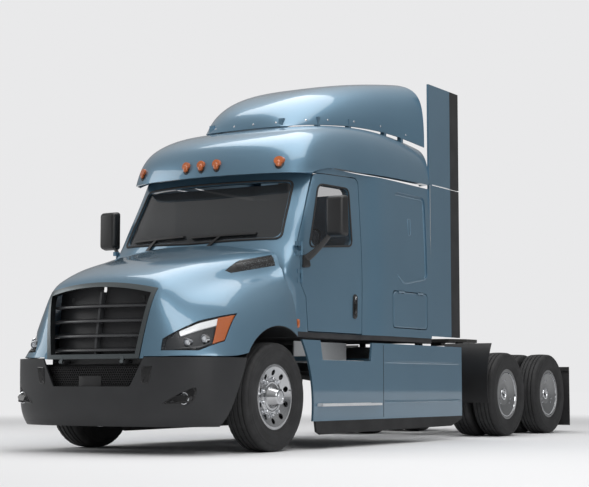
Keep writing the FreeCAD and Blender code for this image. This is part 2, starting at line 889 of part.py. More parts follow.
# Engine, gearbox and shafts
def powertrain():
    x = size.railSpan * engine_width_share
    front = at(-size.noseReach * engine_front_share)
    back = at(size.windscreenFoot)
    low = wheel_z + size.spindleRadius * 2.6
    top = size.hoodTop * engine_top_share
    block = prism("engine_block", "xz", [
        (-x / 2, low), (x / 2, low), (x, rail_low + size.railWall), (x, size.railTop),
        (x * engine_top_width_share, top), (-x * engine_top_width_share, top),
        (-x, size.railTop), (-x, rail_low + size.railWall)], front, back)
    shaft_z = rail_low + size.railWidth / 2
    bell = rod("bell_housing", "y", (ORIGIN, shaft_z + size.railWidth / 2), size.axleBowl, back,
               back + size.axleBowl, size.axleBowl * box_share)
    gearbox = box("gearbox", (-size.axleBowl * box_share, size.axleBowl * box_share),
                  (back + size.axleBowl, back + size.wheelBase * gearbox_share),
                  (rail_low - size.railWidth, size.railTop - size.railWall))
    mounts = []
    web = rail_half - size.railWall
    for number, y in enumerate((front + size.railWidth, back - size.railWidth)):
        for sign in (-1, 1):
            inner = x * sign * half if sign > 0 else -web
            outer = web if sign > 0 else x * sign * half
            mounts.append(box(f"engine_mount_{number}_{sign}", (inner, outer), (y - size.crossWidth / 4, y + size.crossWidth / 4),
                              (rail_low + size.railWidth, rail_low + size.railWidth * 1.5)))
    gear_mount = []
    y = back + size.wheelBase * gearbox_share - size.railWidth
    for sign in (-1, 1):
        inner = ORIGIN if sign > 0 else -web
        outer = web if sign > 0 else ORIGIN
        gear_mount.append(box(f"gearbox_mount_{sign}", (inner, outer), (y, y + size.crossWidth / 4),
                              (rail_low + size.railWidth, rail_low + size.railWidth * 1.5)))
    engine = node(fuse("engine_solid", block, bell, gearbox, *mounts, *gear_mount), "engine")

    start = back + size.wheelBase * gearbox_share
    main = strut("main_shaft", (ORIGIN, start - size.overrun, shaft_z),
                 (ORIGIN, first_y - size.axleNose + size.overrun, wheel_z), size.spindleRadius)
    fitted = cut("main_shaft_fit", main, engine, doc.getObject("drive_axle_0"))
    inter = rod("inter_shaft", "y", (ORIGIN, wheel_z), size.spindleRadius * box_share,
                first_y + size.axleBowl, second_y - size.axleNose)
    node(together("driveshaft_set", fitted, inter), "driveshafts")


engine_width_share = 0.36
engine_front_share = 0.68
engine_top_share = 0.75
engine_top_width_share = 0.55
box_share = 0.8
gearbox_share = 0.24


def radiator():
    front = at(-size.railNose) + size.crossWidth
    web = rail_half - size.railWall
    core = box("radiator_core", (-web + size.railWidth * 0, web), (front - size.crossWidth, front - size.crossWidth / 5),
               (size.railTop + size.seatGap, size.hoodTop * radiator_share))
    low = box("radiator_low", (-web + size.railWidth, web - size.railWidth),
              (front - size.crossWidth, front - size.crossWidth / 5), (cross_low, size.railTop + size.railWall))
    node(fuse("radiator_solid", core, low), "radiator")


radiator_share = 0.71


# Bumper: one curved skin with a notch for the lower mesh
bumper_plan_shares = ((0.0, 1.001), (0.28, 0.998), (0.52, 0.972), (0.71, 0.915), (0.86, 0.83),
                      (0.95, 0.73), (0.99, 0.61), (1.0, 0.50), (1.0, 0.40))
bumper_row_shares = ((0.0, 0.05), (0.12, 0.02), (0.30, 0.006), (0.62, 0.0), (0.93, 0.0), (1.0, 0.0))


def bumper_grid():
    grid = []
    for height_share, tuck_share in bumper_row_shares:
        row = []
        for x_share, y_share in bumper_plan_shares:
            row.append(vec(body_half * (x_share * (1 - tuck_share)),
                           at(-size.frontOverhang * (y_share * (1 - tuck_share))),
                           blend(size.bumperBottom, size.bumperTop, height_share)))
        grid.append(whole_row(row))
    return grid


def bumper():
    grid = bumper_grid()
    skin = panel("bumper_skin", grid, size.bumperWall)
    front = at(-size.frontOverhang) - size.overrun
    notch_back = at(-size.railNose)
    notch = prism("bumper_notch", "xz", [
        (-size.notchLowWidth / 2, size.notchLow), (size.notchLowWidth / 2, size.notchLow),
        (size.notchTopWidth / 2, size.bumperTop + size.overrun),
        (-size.notchTopWidth / 2, size.bumperTop + size.overrun)], front, notch_back)
    trim = prism("bumper_trim", "yz", [
        (at(-size.archRadius * 0.83), size.bumperTop + size.overrun),
        (at(-size.archRadius * 0.83), size.bumperTop), (at(-size.archRadius * 1.27), size.bumperBottom),
        (at(-size.archRadius * 1.27), size.bumperBottom - size.overrun),
        (at(ORIGIN), size.bumperBottom - size.overrun), (at(ORIGIN), size.bumperTop + size.overrun)],
        -body_half - size.overrun, body_half + size.overrun)
    lamp_x = size.bodyWidth * fog_share
    fogs = [rod(f"fog_hole_{sign}", "y", (lamp_x * sign, blend(size.bumperBottom, size.bumperTop, fog_height_share)),
                size.fogRadius, front, at(-size.noseReach * fog_back_share)) for sign in (-1, 1)]
    shell = cut("bumper_cut", skin, notch, trim, *fogs)
    # the carrier reaches back to the rails' front ends
    beam_y = at(-size.railNose)
    arm_x = body_half * arm_share
    bar = box("bumper_bar", (-arm_x, arm_x),
              (beam_y - size.crossWidth / 2, beam_y), (rail_low - size.railWidth / 2, rail_low + size.railWidth / 2))
    arms = []
    filled = feature("bumper_reach", thick(grid, size.bumperWall / 2, size.frontOverhang * reach_share))
    for sign in (-1, 1):
        middle = (arm_x - size.railWall) * sign
        arm = box(f"bumper_arm_{sign}", (middle - size.railWall, middle + size.railWall),
                  (front, beam_y), (rail_low - size.railWidth / 2, rail_low + size.railWidth / 2))
        arms.append(common(f"bumper_arm_fit_{sign}", arm, filled))
    pin_y = at(-size.hingeReach)
    ear_low = size.hingeHeight - size.hingeRadius
    bar_front = beam_y - size.crossWidth / 2
    ear_outline = [
        (pin_y, ear_low), (bar_front, ear_low), (bar_front, rail_low), (beam_y, rail_low),
        (beam_y, size.hingeHeight), (pin_y, size.hingeHeight + size.hingePin * 1.5)]
    ears = []
    for sign in (-1, 1):
        name = "right" if sign < 0 else "left"
        x = size.hingeSpan / 2 * sign
        for number, offset in enumerate((-1, 1)):
            one = x + (size.hingeRadius + size.yokePlay) * offset
            other = x + (size.hingeRadius + size.yokePlay + size.railWall) * offset
            span = (one, other) if offset > 0 else (other, one)
            ears.append(prism(f"hinge_ear_{name}_{number}", "yz", ear_outline, *span))
            ears.append(rod(f"hinge_tip_{name}_{number}", "x", (pin_y, size.hingeHeight), size.hingePin * 1.5, *span))
        ears.append(rod("hinge_pin_" + name, "x", (pin_y, size.hingeHeight), size.hingePin,
                        x - size.hingeRadius - size.yokePlay - size.railWall,
                        x + size.hingeRadius + size.yokePlay + size.railWall))
    node(fuse("bumper_solid", shell, bar, *arms, *ears), "front_bumper")

    slab = feature("mesh_slab", thick(grid, size.bumperWall + size.seatGap,
                                      size.bumperWall + size.seatGap + size.meshWall))
    edge = size.meshWeb * 3
    top = size.hingeHeight - size.hingeRadius - size.meshWall
    field = prism("mesh_field", "xz", [
        (-size.notchLowWidth / 2 - edge, size.notchLow - edge),
        (size.notchLowWidth / 2 + edge, size.notchLow - edge),
        (size.notchTopWidth / 2 + edge, top), (-size.notchTopWidth / 2 - edge, top)],
        front, notch_back)
    plate = common("mesh_plate", slab, field)
    rows = []
    pitch = size.meshSlot + size.meshWeb
    count = int(num(top - size.notchLow) // num(pitch))
    for number in range(count):
        z = size.notchLow + size.meshWeb + pitch * number
        for column in range(mesh_columns):
            width = size.notchLowWidth / mesh_columns
            x = -size.notchLowWidth / 2 + width * column
            rows.append(box(f"mesh_slot_{number}_{column}", (x + size.meshWeb / 2, x + width - size.meshWeb / 2),
                            (front, notch_back), (z, z + size.meshSlot)))
    node(cut("mesh_solid", plate, *rows), "bumper_mesh")


mesh_columns = 6
fog_share = 0.386
fog_height_share = 0.41
fog_back_share = 0.6
reach_share = 0.2
arm_share = 0.56

# Hood: poles as shares of the half width, of the reach ahead of the axle and of the height.
# Each station runs from the centre line over the shoulder and fender down to the lower edge.
hood_shares = (
    ((0, -1.026, .425), (.25, -1.022, .425), (.467, -1.010, .425), (.55, -.994, .43),
     (.633, -.968, .435), (.725, -.92, .4375), (.808, -.856, .4375), (.867, -.80, .4375), (.917, -.72, .4375)),
    ((0, -1.02, .59), (.25, -1.012, .59), (.467, -.98, .59), (.542, -.952, .585),
     (.625, -.904, .57), (.725, -.832, .54), (.817, -.76, .51), (.892, -.704, .475), (.942, -.64, .4375)),
    ((0, -.984, .77), (.25, -.976, .765), (.458, -.944, .755), (.533, -.912, .7375),
     (.617, -.848, .69), (.733, -.76, .635), (.833, -.656, .585), (.917, -.60, .515), (.975, -.544, .4375)),
    ((0, -.864, .82), (.25, -.856, .815), (.467, -.816, .8025), (.567, -.76, .78),
     (.667, -.68, .725), (.775, -.624, .70), (.883, -.544, .65), (.958, -.48, .56), (1.0, -.448, .45)),
    ((0, -.584, .8825), (.25, -.576, .88), (.50, -.544, .8675), (.633, -.496, .84),
     (.717, -.416, .78), (.817, -.36, .76), (.917, -.304, .71), (.992, -.24, .625), (1.012, -.24, .475)),
    ((0, -.24, .925), (.25, -.24, .9225), (.55, -.224, .91), (.717, -.176, .885),
     (.783, -.12, .81), (.867, -.08, .7925), (.95, -.04, .745), (1.0, 0, .66), (1.012, 0, .475)),
    ((0, -.04, .965), (.333, -.024, .96), (.633, .016, .9475), (.792, .08, .915),
     (.833, .096, .835), (.90, .096, .81), (.967, .112, .765), (1.0, .144, .675), (1.005, .20, .475)),
    ((0, .08, .9875), (.375, .112, .9825), (.667, .208, .9675), (.825, .288, .945),
     (.875, .208, .86), (.925, .16, .8225), (.958, .176, .775), (.983, .264, .69), (.99, .28, .475)),
)


def hood_grid():
    grid = []
    for station in hood_shares:
        row = [vec(body_half * x, at(size.noseReach * y), size.hoodTop * z) for x, y, z in station]
        grid.append(whole_row(row))
    return grid


def lamp_outline(grow):
    inner = body_half * lamp_inner_share
    outer = body_half * lamp_outer_share
    low = size.hoodTop * lamp_low_share
    return [(inner - grow, low - grow), (blend(inner, outer, 0.72), low - grow),
            (outer + grow, blend(low, size.hoodTop * lamp_top_share, 0.25)),
            (outer + grow, size.hoodTop * lamp_top_share + grow),
            (blend(inner, outer, 0.55), blend(low, size.hoodTop * lamp_top_share, 0.78) + grow),
            (inner - grow, blend(low, size.hoodTop * lamp_top_share, 0.3))]


lamp_inner_share = 0.60
lamp_outer_share = 0.915
lamp_low_share = 0.46
lamp_top_share = 0.632


def grille_outline(inset, drop=ORIGIN):
    """The grille's outline moved in by inset, its foot moved down by drop."""
    top = size.grilleTopWidth / 2 - inset
    low = size.grilleLowWidth / 2 - inset
    foot = size.grilleLow + inset - drop
    return [(-low, foot), (low, foot), (top, size.grilleTop - inset),
            (ORIGIN, size.grilleCrown - inset, "arc"), (-top, size.grilleTop - inset)]


def hood():
    grid = hood_grid()
    skin = panel("hood_skin", grid, size.hoodWall)
    front = at(-size.frontOverhang) - size.overrun
    back = at(-size.noseReach * 0.6)
    opening = prism("grille_opening", "xz", grille_outline(ORIGIN, size.overrun), front, back)
    over_bumper = box("hood_over_bumper", (size.notchTopWidth / 2 - size.panelGap * 4, body_half + size.overrun),
                      (front, at(-size.archRadius / 2)),
                      (size.bumperBottom, size.bumperTop + size.panelGap))
    cab_clear = block("hood_off_cab", -size.panelGap * 1.5)
    arch = rod("wheel_arch", "x", (at(ORIGIN), wheel_z), size.archRadius, -body_half - size.overrun * 2,
               body_half + size.overrun * 2)
    lamp_cut = prism("lamp_cut", "xz", lamp_outline(ORIGIN), front, at(-size.noseReach * 0.3))
    vent = prism("vent_cut", "yz", [
        (at(-size.noseReach * 0.39), size.hoodTop * 0.858), (at(size.noseReach * 0.20), size.hoodTop * 0.93),
        (at(size.noseReach * 0.17), size.hoodTop * 0.875), (at(-size.noseReach * 0.27), size.hoodTop * 0.825)],
        size.glassWidth / 2 * 0.86, body_half)
    shell = cut("hood_shell", skin, opening, arch, lamp_cut, mirrored("lamp_cut_right", lamp_cut),
                vent, mirrored("vent_cut_right", vent), over_bumper, mirrored("hood_over_bumper_right", over_bumper),
                cab_clear)
    node(shell, "hood")

    # liners under the fenders
    ring_out = rod("liner_out", "x", (at(ORIGIN), wheel_z), size.archRadius,
                   size.linerInner, body_half * liner_share)
    ring_in = rod("liner_in", "x", (at(ORIGIN), wheel_z), size.archRadius - size.linerWall,
                  size.linerInner - size.overrun, body_half)
    keep = box("liner_keep", (size.linerInner, body_half * liner_share),
               (at(-size.archRadius), at(size.archRadius * 0.5)),
               (wheel_z + size.archRadius * 0.55, wheel_z + size.archRadius + size.overrun))
    arc = common("liner_arc", cut("liner_tube", ring_out, ring_in), keep)
    node(both_sides("liner_set", arc), "wheel_well_liners")

    # grille frame and louvres follow the nose
    slab = feature("nose_slab", thick(grid, -size.hoodWall / 2, size.grilleDepth))
    rim = prism("grille_rim", "xz", grille_outline(ORIGIN), front, back)
    inside = prism("grille_inside", "xz", grille_outline(size.grilleFrame), front, back)
    frame_ring = common("grille_frame_ring", slab, cut("grille_ring", rim, inside))
    eyes = []
    holes = []
    pin_y = at(-size.hingeReach)
    for sign in (-1, 1):
        x = size.hingeSpan / 2 * sign
        name = "right" if sign < 0 else "left"
        span = (x - size.hingeRadius, x + size.hingeRadius)
        eyes.append(rod("hinge_eye_" + name, "x", (pin_y, size.hingeHeight), size.hingeRadius, *span))
        eyes.append(box("hinge_lug_" + name, span, (pin_y - size.hingeRadius / 2, pin_y + size.hingeRadius),
                        (size.hingeHeight, size.grilleLow + size.grilleFrame / 2)))
        holes.append(rod("hinge_hole_" + name, "x", (pin_y, size.hingeHeight), size.hingePin + size.hubPlay / 20,
                         x - size.overrun, x + size.overrun))
    node(cut("grille_frame_solid", fuse("grille_frame_eyes", frame_ring, *eyes), *holes), "grille_surround")
    bars = [box("grille_post", (-size.postWidth / 2, size.postWidth / 2), (front, back),
                (size.grilleLow, size.grilleCrown))]
    for number in range(int(num(size.louvreCount))):
        z = size.grilleLow + size.grilleFrame + size.grilleFrame / 2 + size.louvrePitch * number
        bars.append(box(f"louvre_{number}", (-size.grilleTopWidth / 2, size.grilleTopWidth / 2), (front, back),
                        (z, z + size.louvreHeight)))
    deep = feature("louvre_slab", thick(grid, size.hoodWall, size.grilleDepth))
    field = prism("louvre_field", "xz", grille_outline(size.grilleFrame), front, back)
    node(common("louvre_solid", common("louvre_bars", deep, fuse("louvre_set", *bars)), field), "grille_louvres")

    lamp_slab = feature("lamp_slab", thick(grid, ORIGIN, size.lampDepth))
    lamp = common("lamp_left", lamp_slab, prism("lamp_body", "xz", lamp_outline(ORIGIN), front,
                                                at(-size.noseReach * 0.3)))
    node(both_sides("lamp_set", lamp), "headlamps")
    vent_slab = feature("vent_slab", thick(grid, size.hoodWall / 4, size.hoodWall))
    vents = common("vent_left", vent_slab, prism("vent_body", "yz", [
        (at(-size.noseReach * 0.39), size.hoodTop * 0.858), (at(size.noseReach * 0.20), size.hoodTop * 0.93),
        (at(size.noseReach * 0.17), size.hoodTop * 0.875), (at(-size.noseReach * 0.27), size.hoodTop * 0.825)],
        size.glassWidth / 2 * 0.86, body_half))
    node(both_sides("vent_set", vents), "hood_vents")


liner_share = 0.992


# Cab: level plans stacked from the floor to the roof seam, with the wall inside them
def cab_rows(inset):
    """Poles of the cab's outside, each level a plan from the rear left round to the rear right."""
    levels = (
        (size.floorTop, size.windscreenSet * 0.85, cab_half - inset_front, size.windscreenSet * 0.86,
         cab_half, body_half),
        (blend(size.floorTop, size.glassBase, 0.35), size.windscreenSet * 0.84, cab_half - inset_front,
         size.windscreenSet * 0.85, cab_half * 1.004, body_half),
        (blend(size.floorTop, size.glassBase, 0.52), size.windscreenSet * 0.53, cab_half - inset_front,
         size.windscreenSet * 0.55, cab_half * 1.008, body_half),
        (blend(size.floorTop, size.glassBase, 0.72), size.windscreenSet * 0.50, cab_half - inset_front * 2,
         size.windscreenSet * 0.56, cab_half * 1.006, body_half),
        (blend(size.floorTop, size.glassBase, 0.95), size.windscreenFoot * 0.95, size.glassWidth / 2,
         size.windscreenSet * 0.98, cab_half, body_half * 0.998),
        (blend(size.glassBase, size.headTop, 0.3), size.windscreenFoot + size.windscreenRake * 0.26,
         size.glassWidth / 2, size.windscreenSet + size.windscreenRake * 0.26, cab_half * 0.99, body_half * 0.992),
        (blend(size.glassBase, size.headTop, 0.72), size.windscreenFoot + size.windscreenRake * 0.72,
         size.glassWidth / 2 * 0.985, size.windscreenSet + size.windscreenRake * 0.70, cab_half * 0.975,
         body_half * 0.982),
        (size.cabTop, size.windscreenFoot + size.windscreenRake * 1.12, size.glassWidth / 2 * 0.97,
         size.windscreenSet + size.windscreenRake * 1.05, cab_half * 0.962, body_half * 0.973),
    )
    rows = []
    for z, front, corner_x, corner_y, side, sleeper in levels:
        bow = corner_y - front
        row = [
            (ORIGIN, front), (corner_x * 0.40, front + bow * 0.06), (corner_x * 0.76, front + bow * 0.36),
            (corner_x * 0.96, corner_y - bow * 0.10),
            (blend(corner_x, side, 0.55), corner_y + inset_front), (side, corner_y + size.cabWall * 2),
            (side, blend(corner_y, size.doorRear, 0.6)), (side, size.doorRear + size.doorGap),
            (blend(side, sleeper, 0.5), blend(size.doorRear, size.flareEnd, 0.62)),
            (sleeper, size.flareEnd), (sleeper, blend(size.flareEnd, size.sleeperRear, 0.3)),
            (sleeper, size.sleeperRear),
        ]
        rows.append(whole_row([vec(x, at(y), z) for x, y in row]))
    return [inset_row(row, num(inset)) for row in rows]


inset_front = size.cabWall * 0.4


def inset_row(row, depth):
    if depth == 0:
        return row
    result = []
    last = len(row) - 1
    for index, point in enumerate(row):
        run = row[min(index + 1, last)] - row[max(index - 1, 0)]
        normal = Vector(0, 0, 1).cross(run)
        normal.normalize()
        moved = point + normal * depth
        if index in (0, last):
            moved.y = point.y
        result.append(moved)
    return result


def block(name, inset, low=ORIGIN, top=ORIGIN, back=ORIGIN):
    """The solid inside the cab's skin moved in by inset."""
    rows = cab_rows(inset)
    for point in rows[0]:
        point.z = point.z + num(low)
    for point in rows[-1]:
        point.z = point.z + num(top)
    surface = sheet_face(rows)
    skin = surface.toShape()
    bottom, right, upper, left = border(surface)
    faces = [skin]
    for edge in (bottom, upper):
        closing = Part.makeLine(edge.Vertexes[-1].Point, edge.Vertexes[0].Point)
        faces.append(Part.Face(Part.Wire([edge, closing])))
    rim = [left, right]
    lines = [Part.makeLine(left.Vertexes[0].Point, right.Vertexes[0].Point),
             Part.makeLine(left.Vertexes[-1].Point, right.Vertexes[-1].Point)]
    faces.append(Part.Face(Part.Wire([rim[0], lines[1], rim[1], lines[0]])))
    return feature(name, solid_of(faces))


def cab():
    outer = block("cab_outer", ORIGIN)
    inner = block("cab_inner", size.cabWall, -size.overrun, size.overrun)
    behind = box("cab_back_wall", (-body_half, body_half),
                 (at(size.sleeperRear) - size.cabWall, at(size.sleeperRear) + size.overrun),
                 (size.floorTop - size.overrun * 2, size.cabTop + size.overrun * 2))
    hollow = cut("cab_hollow", inner, behind)
    shell = cut("cab_shell", outer, hollow)

    gap = size.doorGap
    door_points = door_outline(ORIGIN)
    door_prism = prism("door_prism", "yz", door_points, size.glassWidth / 2 * 0.8, body_half + size.overrun,
                       rounds=((size.cabWall, [door_points[6], door_points[7]]),))
    hole_points = door_outline(gap)
    hole_prism = prism("door_hole", "yz", hole_points, size.glassWidth / 2 * 0.8, body_half + size.overrun,
                       rounds=((size.cabWall, [hole_points[6], hole_points[7]]),))
    window_points = window_outline()
    window = prism("window_hole", "yz", window_points, size.glassWidth / 2 * 0.7, body_half + size.overrun,
                   rounds=((size.cabWall, window_points),))
    screen_points = screen_outline()
    screen = prism("screen_hole", "xz", screen_points, at(ORIGIN), at(size.windscreenSet + size.windscreenRake * 1.3),
                   rounds=((size.cabWall * 0.8, [screen_points[1], screen_points[2], screen_points[4],
                                           screen_points[5]]),))
    hole_right = mirrored("door_hole_right", hole_prism)
    split = at(size.sleeperSplit)
    ahead = box("cab_ahead", (-body_half - size.overrun, body_half + size.overrun),
                (at(-size.overrun), split), (size.floorTop - size.overrun, size.cabTop + size.overrun))
    behind_split = box("cab_behind", (-body_half - size.overrun, body_half + size.overrun),
                       (split, at(size.sleeperRear) + size.overrun),
                       (size.floorTop - size.overrun, size.cabTop + size.overrun))
    hinges = []
    for number, share in enumerate(hinge_height_shares):
        hinges.append(hinge(f"door_hinge_{number}", "z", (size.doorHinge, at(size.doorFront)),
                            blend(size.floorTop, size.glassBase, share), size.leafDepth,
                            size.leafReach, -size.leafReach))
    door_rooms = fuse("door_hinge_rooms", *[room for _, _, room in hinges])
    standing = [fixed for _, fixed, _ in hinges]
    open_shell = cut("cab_open", shell, hole_prism, hole_right, screen, door_rooms,
                     mirrored("door_hinge_rooms_right", door_rooms))
    front_frame = common("cab_front_shell", open_shell, ahead)
    leaves = fuse("door_fixed_leaves", *standing)
    node(fuse("cab_front_solid", front_frame, leaves, mirrored("door_fixed_leaves_right", leaves)),
         "cab_front_frame")

    # baggage doors and the pressed panels of the sleeper
    bag_points = baggage_outline(ORIGIN)
    bag = prism("baggage_prism", "yz", bag_points, cab_half - size.cabWall, body_half + size.overrun,
                rounds=((size.cabWall * 0.7, bag_points),))
    bag_hole_points = baggage_outline(gap)
    bag_hole = prism("baggage_hole", "yz", bag_hole_points, cab_half - size.cabWall, body_half + size.overrun,
                     rounds=((size.cabWall * 0.7, bag_hole_points),))
    press_points = press_outline()
    press = prism("press_prism", "yz", press_points, ORIGIN + cab_half * 0.8, body_half + size.overrun,
                  rounds=((size.cabWall, press_points),))
    thin = cut("press_skin", block("press_outer", -size.overrun), block("press_inner", size.pressDepth))
    recess = common("press_recess", thin, press)
    lid_hinges = []
    lid_top = bag_points[2][1]
    for number, share in enumerate(lid_hinge_shares):
        middle = blend(bag_points[0][0], bag_points[1][0], share)
        lid_hinges.append(hinge(f"lid_hinge_{number}", "y", (body_half, lid_top), middle, size.leafDepth,
                                -size.leafReach, size.leafReach))
    lid_rooms = fuse("lid_hinge_rooms", *[room for _, _, room in lid_hinges])
    lid_leaves = fuse("lid_fixed_leaves", *[fixed for _, fixed, _ in lid_hinges])
    opened = cut("sleeper_open", shell, bag_hole, mirrored("baggage_hole_right", bag_hole),
                 recess, mirrored("press_right", recess), lid_rooms, mirrored("lid_hinge_rooms_right", lid_rooms))
    sleeper = common("sleeper_part", opened, behind_split)
    node(fuse("sleeper_solid", sleeper, lid_leaves, mirrored("lid_fixed_leaves_right", lid_leaves)), "sleeper_shell")

    for sign, side in ((1, "left"), (-1, "right")):
        blank = cut(f"door_{side}_cut", common(f"door_{side}_blank", shell, door_prism), window, door_rooms)
        door = fuse(f"door_{side}_solid", blank, *[moving for moving, _, _ in hinges])
        pane_slab = cut(f"pane_slab_{side}", block(f"pane_outer_{side}", size.glassInset),
                        block(f"pane_inner_{side}", size.glassInset + size.glassWall, -size.overrun, size.overrun))
        pane = common(f"pane_{side}", pane_slab, window)
        lid = fuse(f"baggage_{side}_solid", cut(f"baggage_{side}_cut", common(f"baggage_{side}_blank", shell, bag), lid_rooms),
                   *[moving for moving, _, _ in lid_hinges])
        if sign < 0:
            door = mirrored("door_mirror", door)
            pane = mirrored("pane_mirror", pane)
            lid = mirrored("baggage_mirror", lid)
        node(door, "door_" + side)
        node(pane, "door_glass_" + side)
        node(lid, "baggage_door_" + side)

    glass_slab = cut("glass_slab", block("glass_outer", size.glassInset),
                     block("glass_inner", size.glassInset + size.glassWall, -size.overrun, size.overrun))
    node(common("windshield_solid", glass_slab, screen), "windshield")


# heights of the door's hinges up to the windscreen's foot, and places of the lid's hinges along it
hinge_height_shares = (0.60, 0.90)
lid_hinge_shares = (0.22, 0.78)


def door_outline(grow):
    front = at(size.doorFront)
    rear = at(size.doorRear) + grow
    low = size.sillTop - grow
    return [
        (front + size.cabWall * 2 - grow, low), (front + size.cabWall * 1.35 - grow, blend(size.floorTop, size.glassBase, 0.38)),
        (front + size.cabWall * 0.2 - grow, blend(size.floorTop, size.glassBase, 0.49)),
        (front - grow, blend(size.floorTop, size.glassBase, 0.70)),
        (front - grow, blend(size.floorTop, size.glassBase, 0.93)),
        (front + size.windscreenRake * 0.04 - grow, size.glassBase),
        (front + size.windscreenRake * 0.93 - grow, size.doorTop - size.cabWall * 0.5 + grow),
        (rear, size.doorTop + grow), (rear, low)]


def window_outline():
    front = at(size.doorFront)
    return [(front + size.cabWall * 2.5, size.glassBase - size.cabWall * 0.7),
            (front + size.windscreenRake * 1.02, size.doorTop - size.cabWall * 2.1),
            (at(size.doorRear) - size.cabWall * 2.8, size.doorTop - size.cabWall * 1.9),
            (at(size.doorRear) - size.cabWall * 2.6, size.glassBase + size.cabWall * 0.3)]


def screen_outline():
    foot = size.glassWidth / 2 * 0.955
    head = size.glassWidth / 2 * 0.90
    low = size.glassBase + size.cabWall * 0.35
    top = size.headTop - size.cabWall
    return [(ORIGIN, low - size.cabWall * 0.35), (foot, low), (head, top), (ORIGIN, top), (-head, top), (-foot, low)]


def baggage_outline(grow):
    front = at(blend(size.flareEnd, size.sleeperRear, 0.20)) - grow
    rear = at(blend(size.flareEnd, size.sleeperRear, 0.90)) + grow
    low = blend(size.floorTop, size.glassBase, 0.11) - grow
    top = blend(size.floorTop, size.glassBase, 0.54) + grow
    return [(front, low), (rear, low), (rear, top), (front, top)]


def press_outline():
    front = at(blend(size.flareEnd, size.sleeperRear, 0.28))
    rear = at(blend(size.flareEnd, size.sleeperRear, 0.91))
    low = blend(size.floorTop, size.glassBase, 0.73)
    top = size.cabTop - size.cabWall * 1.6
    return [(front, low), (rear, low), (rear, top), (front, top)]


# Floor, inside and roof
def floor():
    inset = size.cabWall * 0.1
    front = at(size.windscreenSet * 0.86)
    outline = [
        (-cab_half + inset, front), (cab_half - inset, front), (cab_half - inset, at(size.doorRear)),
        (body_half - inset, at(size.flareEnd)), (body_half - inset, at(size.sleeperRear)),
        (-body_half + inset, at(size.sleeperRear)), (-body_half + inset, at(size.flareEnd)),
        (-cab_half + inset, at(size.doorRear))]
    plate = prism("floor_plate", "xy", outline, size.floorLow, size.floorTop)
    pucks = []
    x = rail_half - size.railWidth / 2
    for number, y in enumerate((at(size.doorFront), at(size.sleeperRear) - size.crossWidth)):
        for sign in (-1, 1):
            pucks.append(rod(f"cab_mount_{number}_{sign}", "z", (x * sign, y), size.railWidth * 0.4,
                             size.railTop, size.floorLow))
    node(fuse("floor_solid", plate, *pucks), "cab_floor")


def inside():
    wall = size.cabWall
    seats = []
    seat_y = at(blend(size.doorFront, size.doorRear, 0.42))
    low = size.floorTop
    cushion = blend(size.floorTop, size.glassBase, 0.50)
    back_top = size.headTop - size.cabWall * 3
    seat_outline = [
        (seat_y, low), (seat_y + size.seatWidth * 0.7, low), (seat_y + size.seatWidth * 0.7, cushion - wall * 2),
        (seat_y + size.seatWidth * 0.95, cushion - wall * 2), (seat_y + size.seatWidth * 1.2, back_top),
        (seat_y + size.seatWidth * 0.95, back_top), (seat_y + size.seatWidth * 0.72, cushion),
        (seat_y - wall, cushion), (seat_y - wall, cushion - wall * 1.6), (seat_y, cushion - wall * 2)]
    seat_x = cab_half * seat_place_share
    for sign in (-1, 1):
        seats.append(prism(f"seat_{'left' if sign > 0 else 'right'}", "yz", seat_outline,
                           seat_x * sign - size.seatWidth / 2, seat_x * sign + size.seatWidth / 2))
    bunk_front = at(size.sleeperRear) - size.cabWall - size.seatWidth * bunk_share
    bunk_back = at(size.sleeperRear) - size.cabWall
    reach = body_half * 0.972 - wall * 1.3
    bunk = box("bunk", (-reach, reach), (bunk_front, bunk_back),
               (size.floorTop, blend(size.floorTop, size.glassBase, 0.62)))
    node(together("seats_set", *seats, bunk), "seats_and_bunk")

    dash_back = at(size.doorFront) + size.seatWidth * 0.42
    dash_outline = [
        (at(ORIGIN), blend(size.floorTop, size.glassBase, 0.50)), (dash_back - wall, blend(size.floorTop, size.glassBase, 0.45)),
        (dash_back, blend(size.floorTop, size.glassBase, 0.70)), (dash_back - wall * 2, size.glassBase - wall),
        (at(ORIGIN), size.glassBase - wall * 0.8)]
    slab = prism("dash_slab", "yz", dash_outline, -cab_half * 0.86, cab_half * 0.86)
    room = block("dash_room", wall, -size.overrun, size.overrun)
    fitted = common("dash_fitted", slab, room)
    wheel_z_place = blend(size.floorTop, size.glassBase, 0.78)
    wheel_y = dash_back + wall * 1.6
    wheel = ring("steering_wheel", "y", (seat_x, wheel_y, wheel_z_place), size.steeringRadius, wall * 0.2)
    hub = rod("steering_hub", "y", (seat_x, wheel_z_place), wall * 0.9, wheel_y - wall * 0.3, wheel_y + wall * 0.3)
    column = rod("steering_column", "y", (seat_x, wheel_z_place), wall * 0.55, dash_back - wall * 2, wheel_y)
    spoke = box("steering_spoke", (seat_x - size.steeringRadius, seat_x + size.steeringRadius),
                (wheel_y - wall * 0.1, wheel_y + wall * 0.1), (wheel_z_place - wall * 0.3, wheel_z_place + wall * 0.2))
    lower = box("steering_lower", (seat_x - wall * 0.25, seat_x + wall * 0.25), (wheel_y - wall * 0.1, wheel_y + wall * 0.1),
                (wheel_z_place - size.steeringRadius, wheel_z_place))
    node(fuse("dash_solid", fitted, wheel, hub, column, spoke, lower), "dashboard")


seat_place_share = 0.43
bunk_share = 1.4

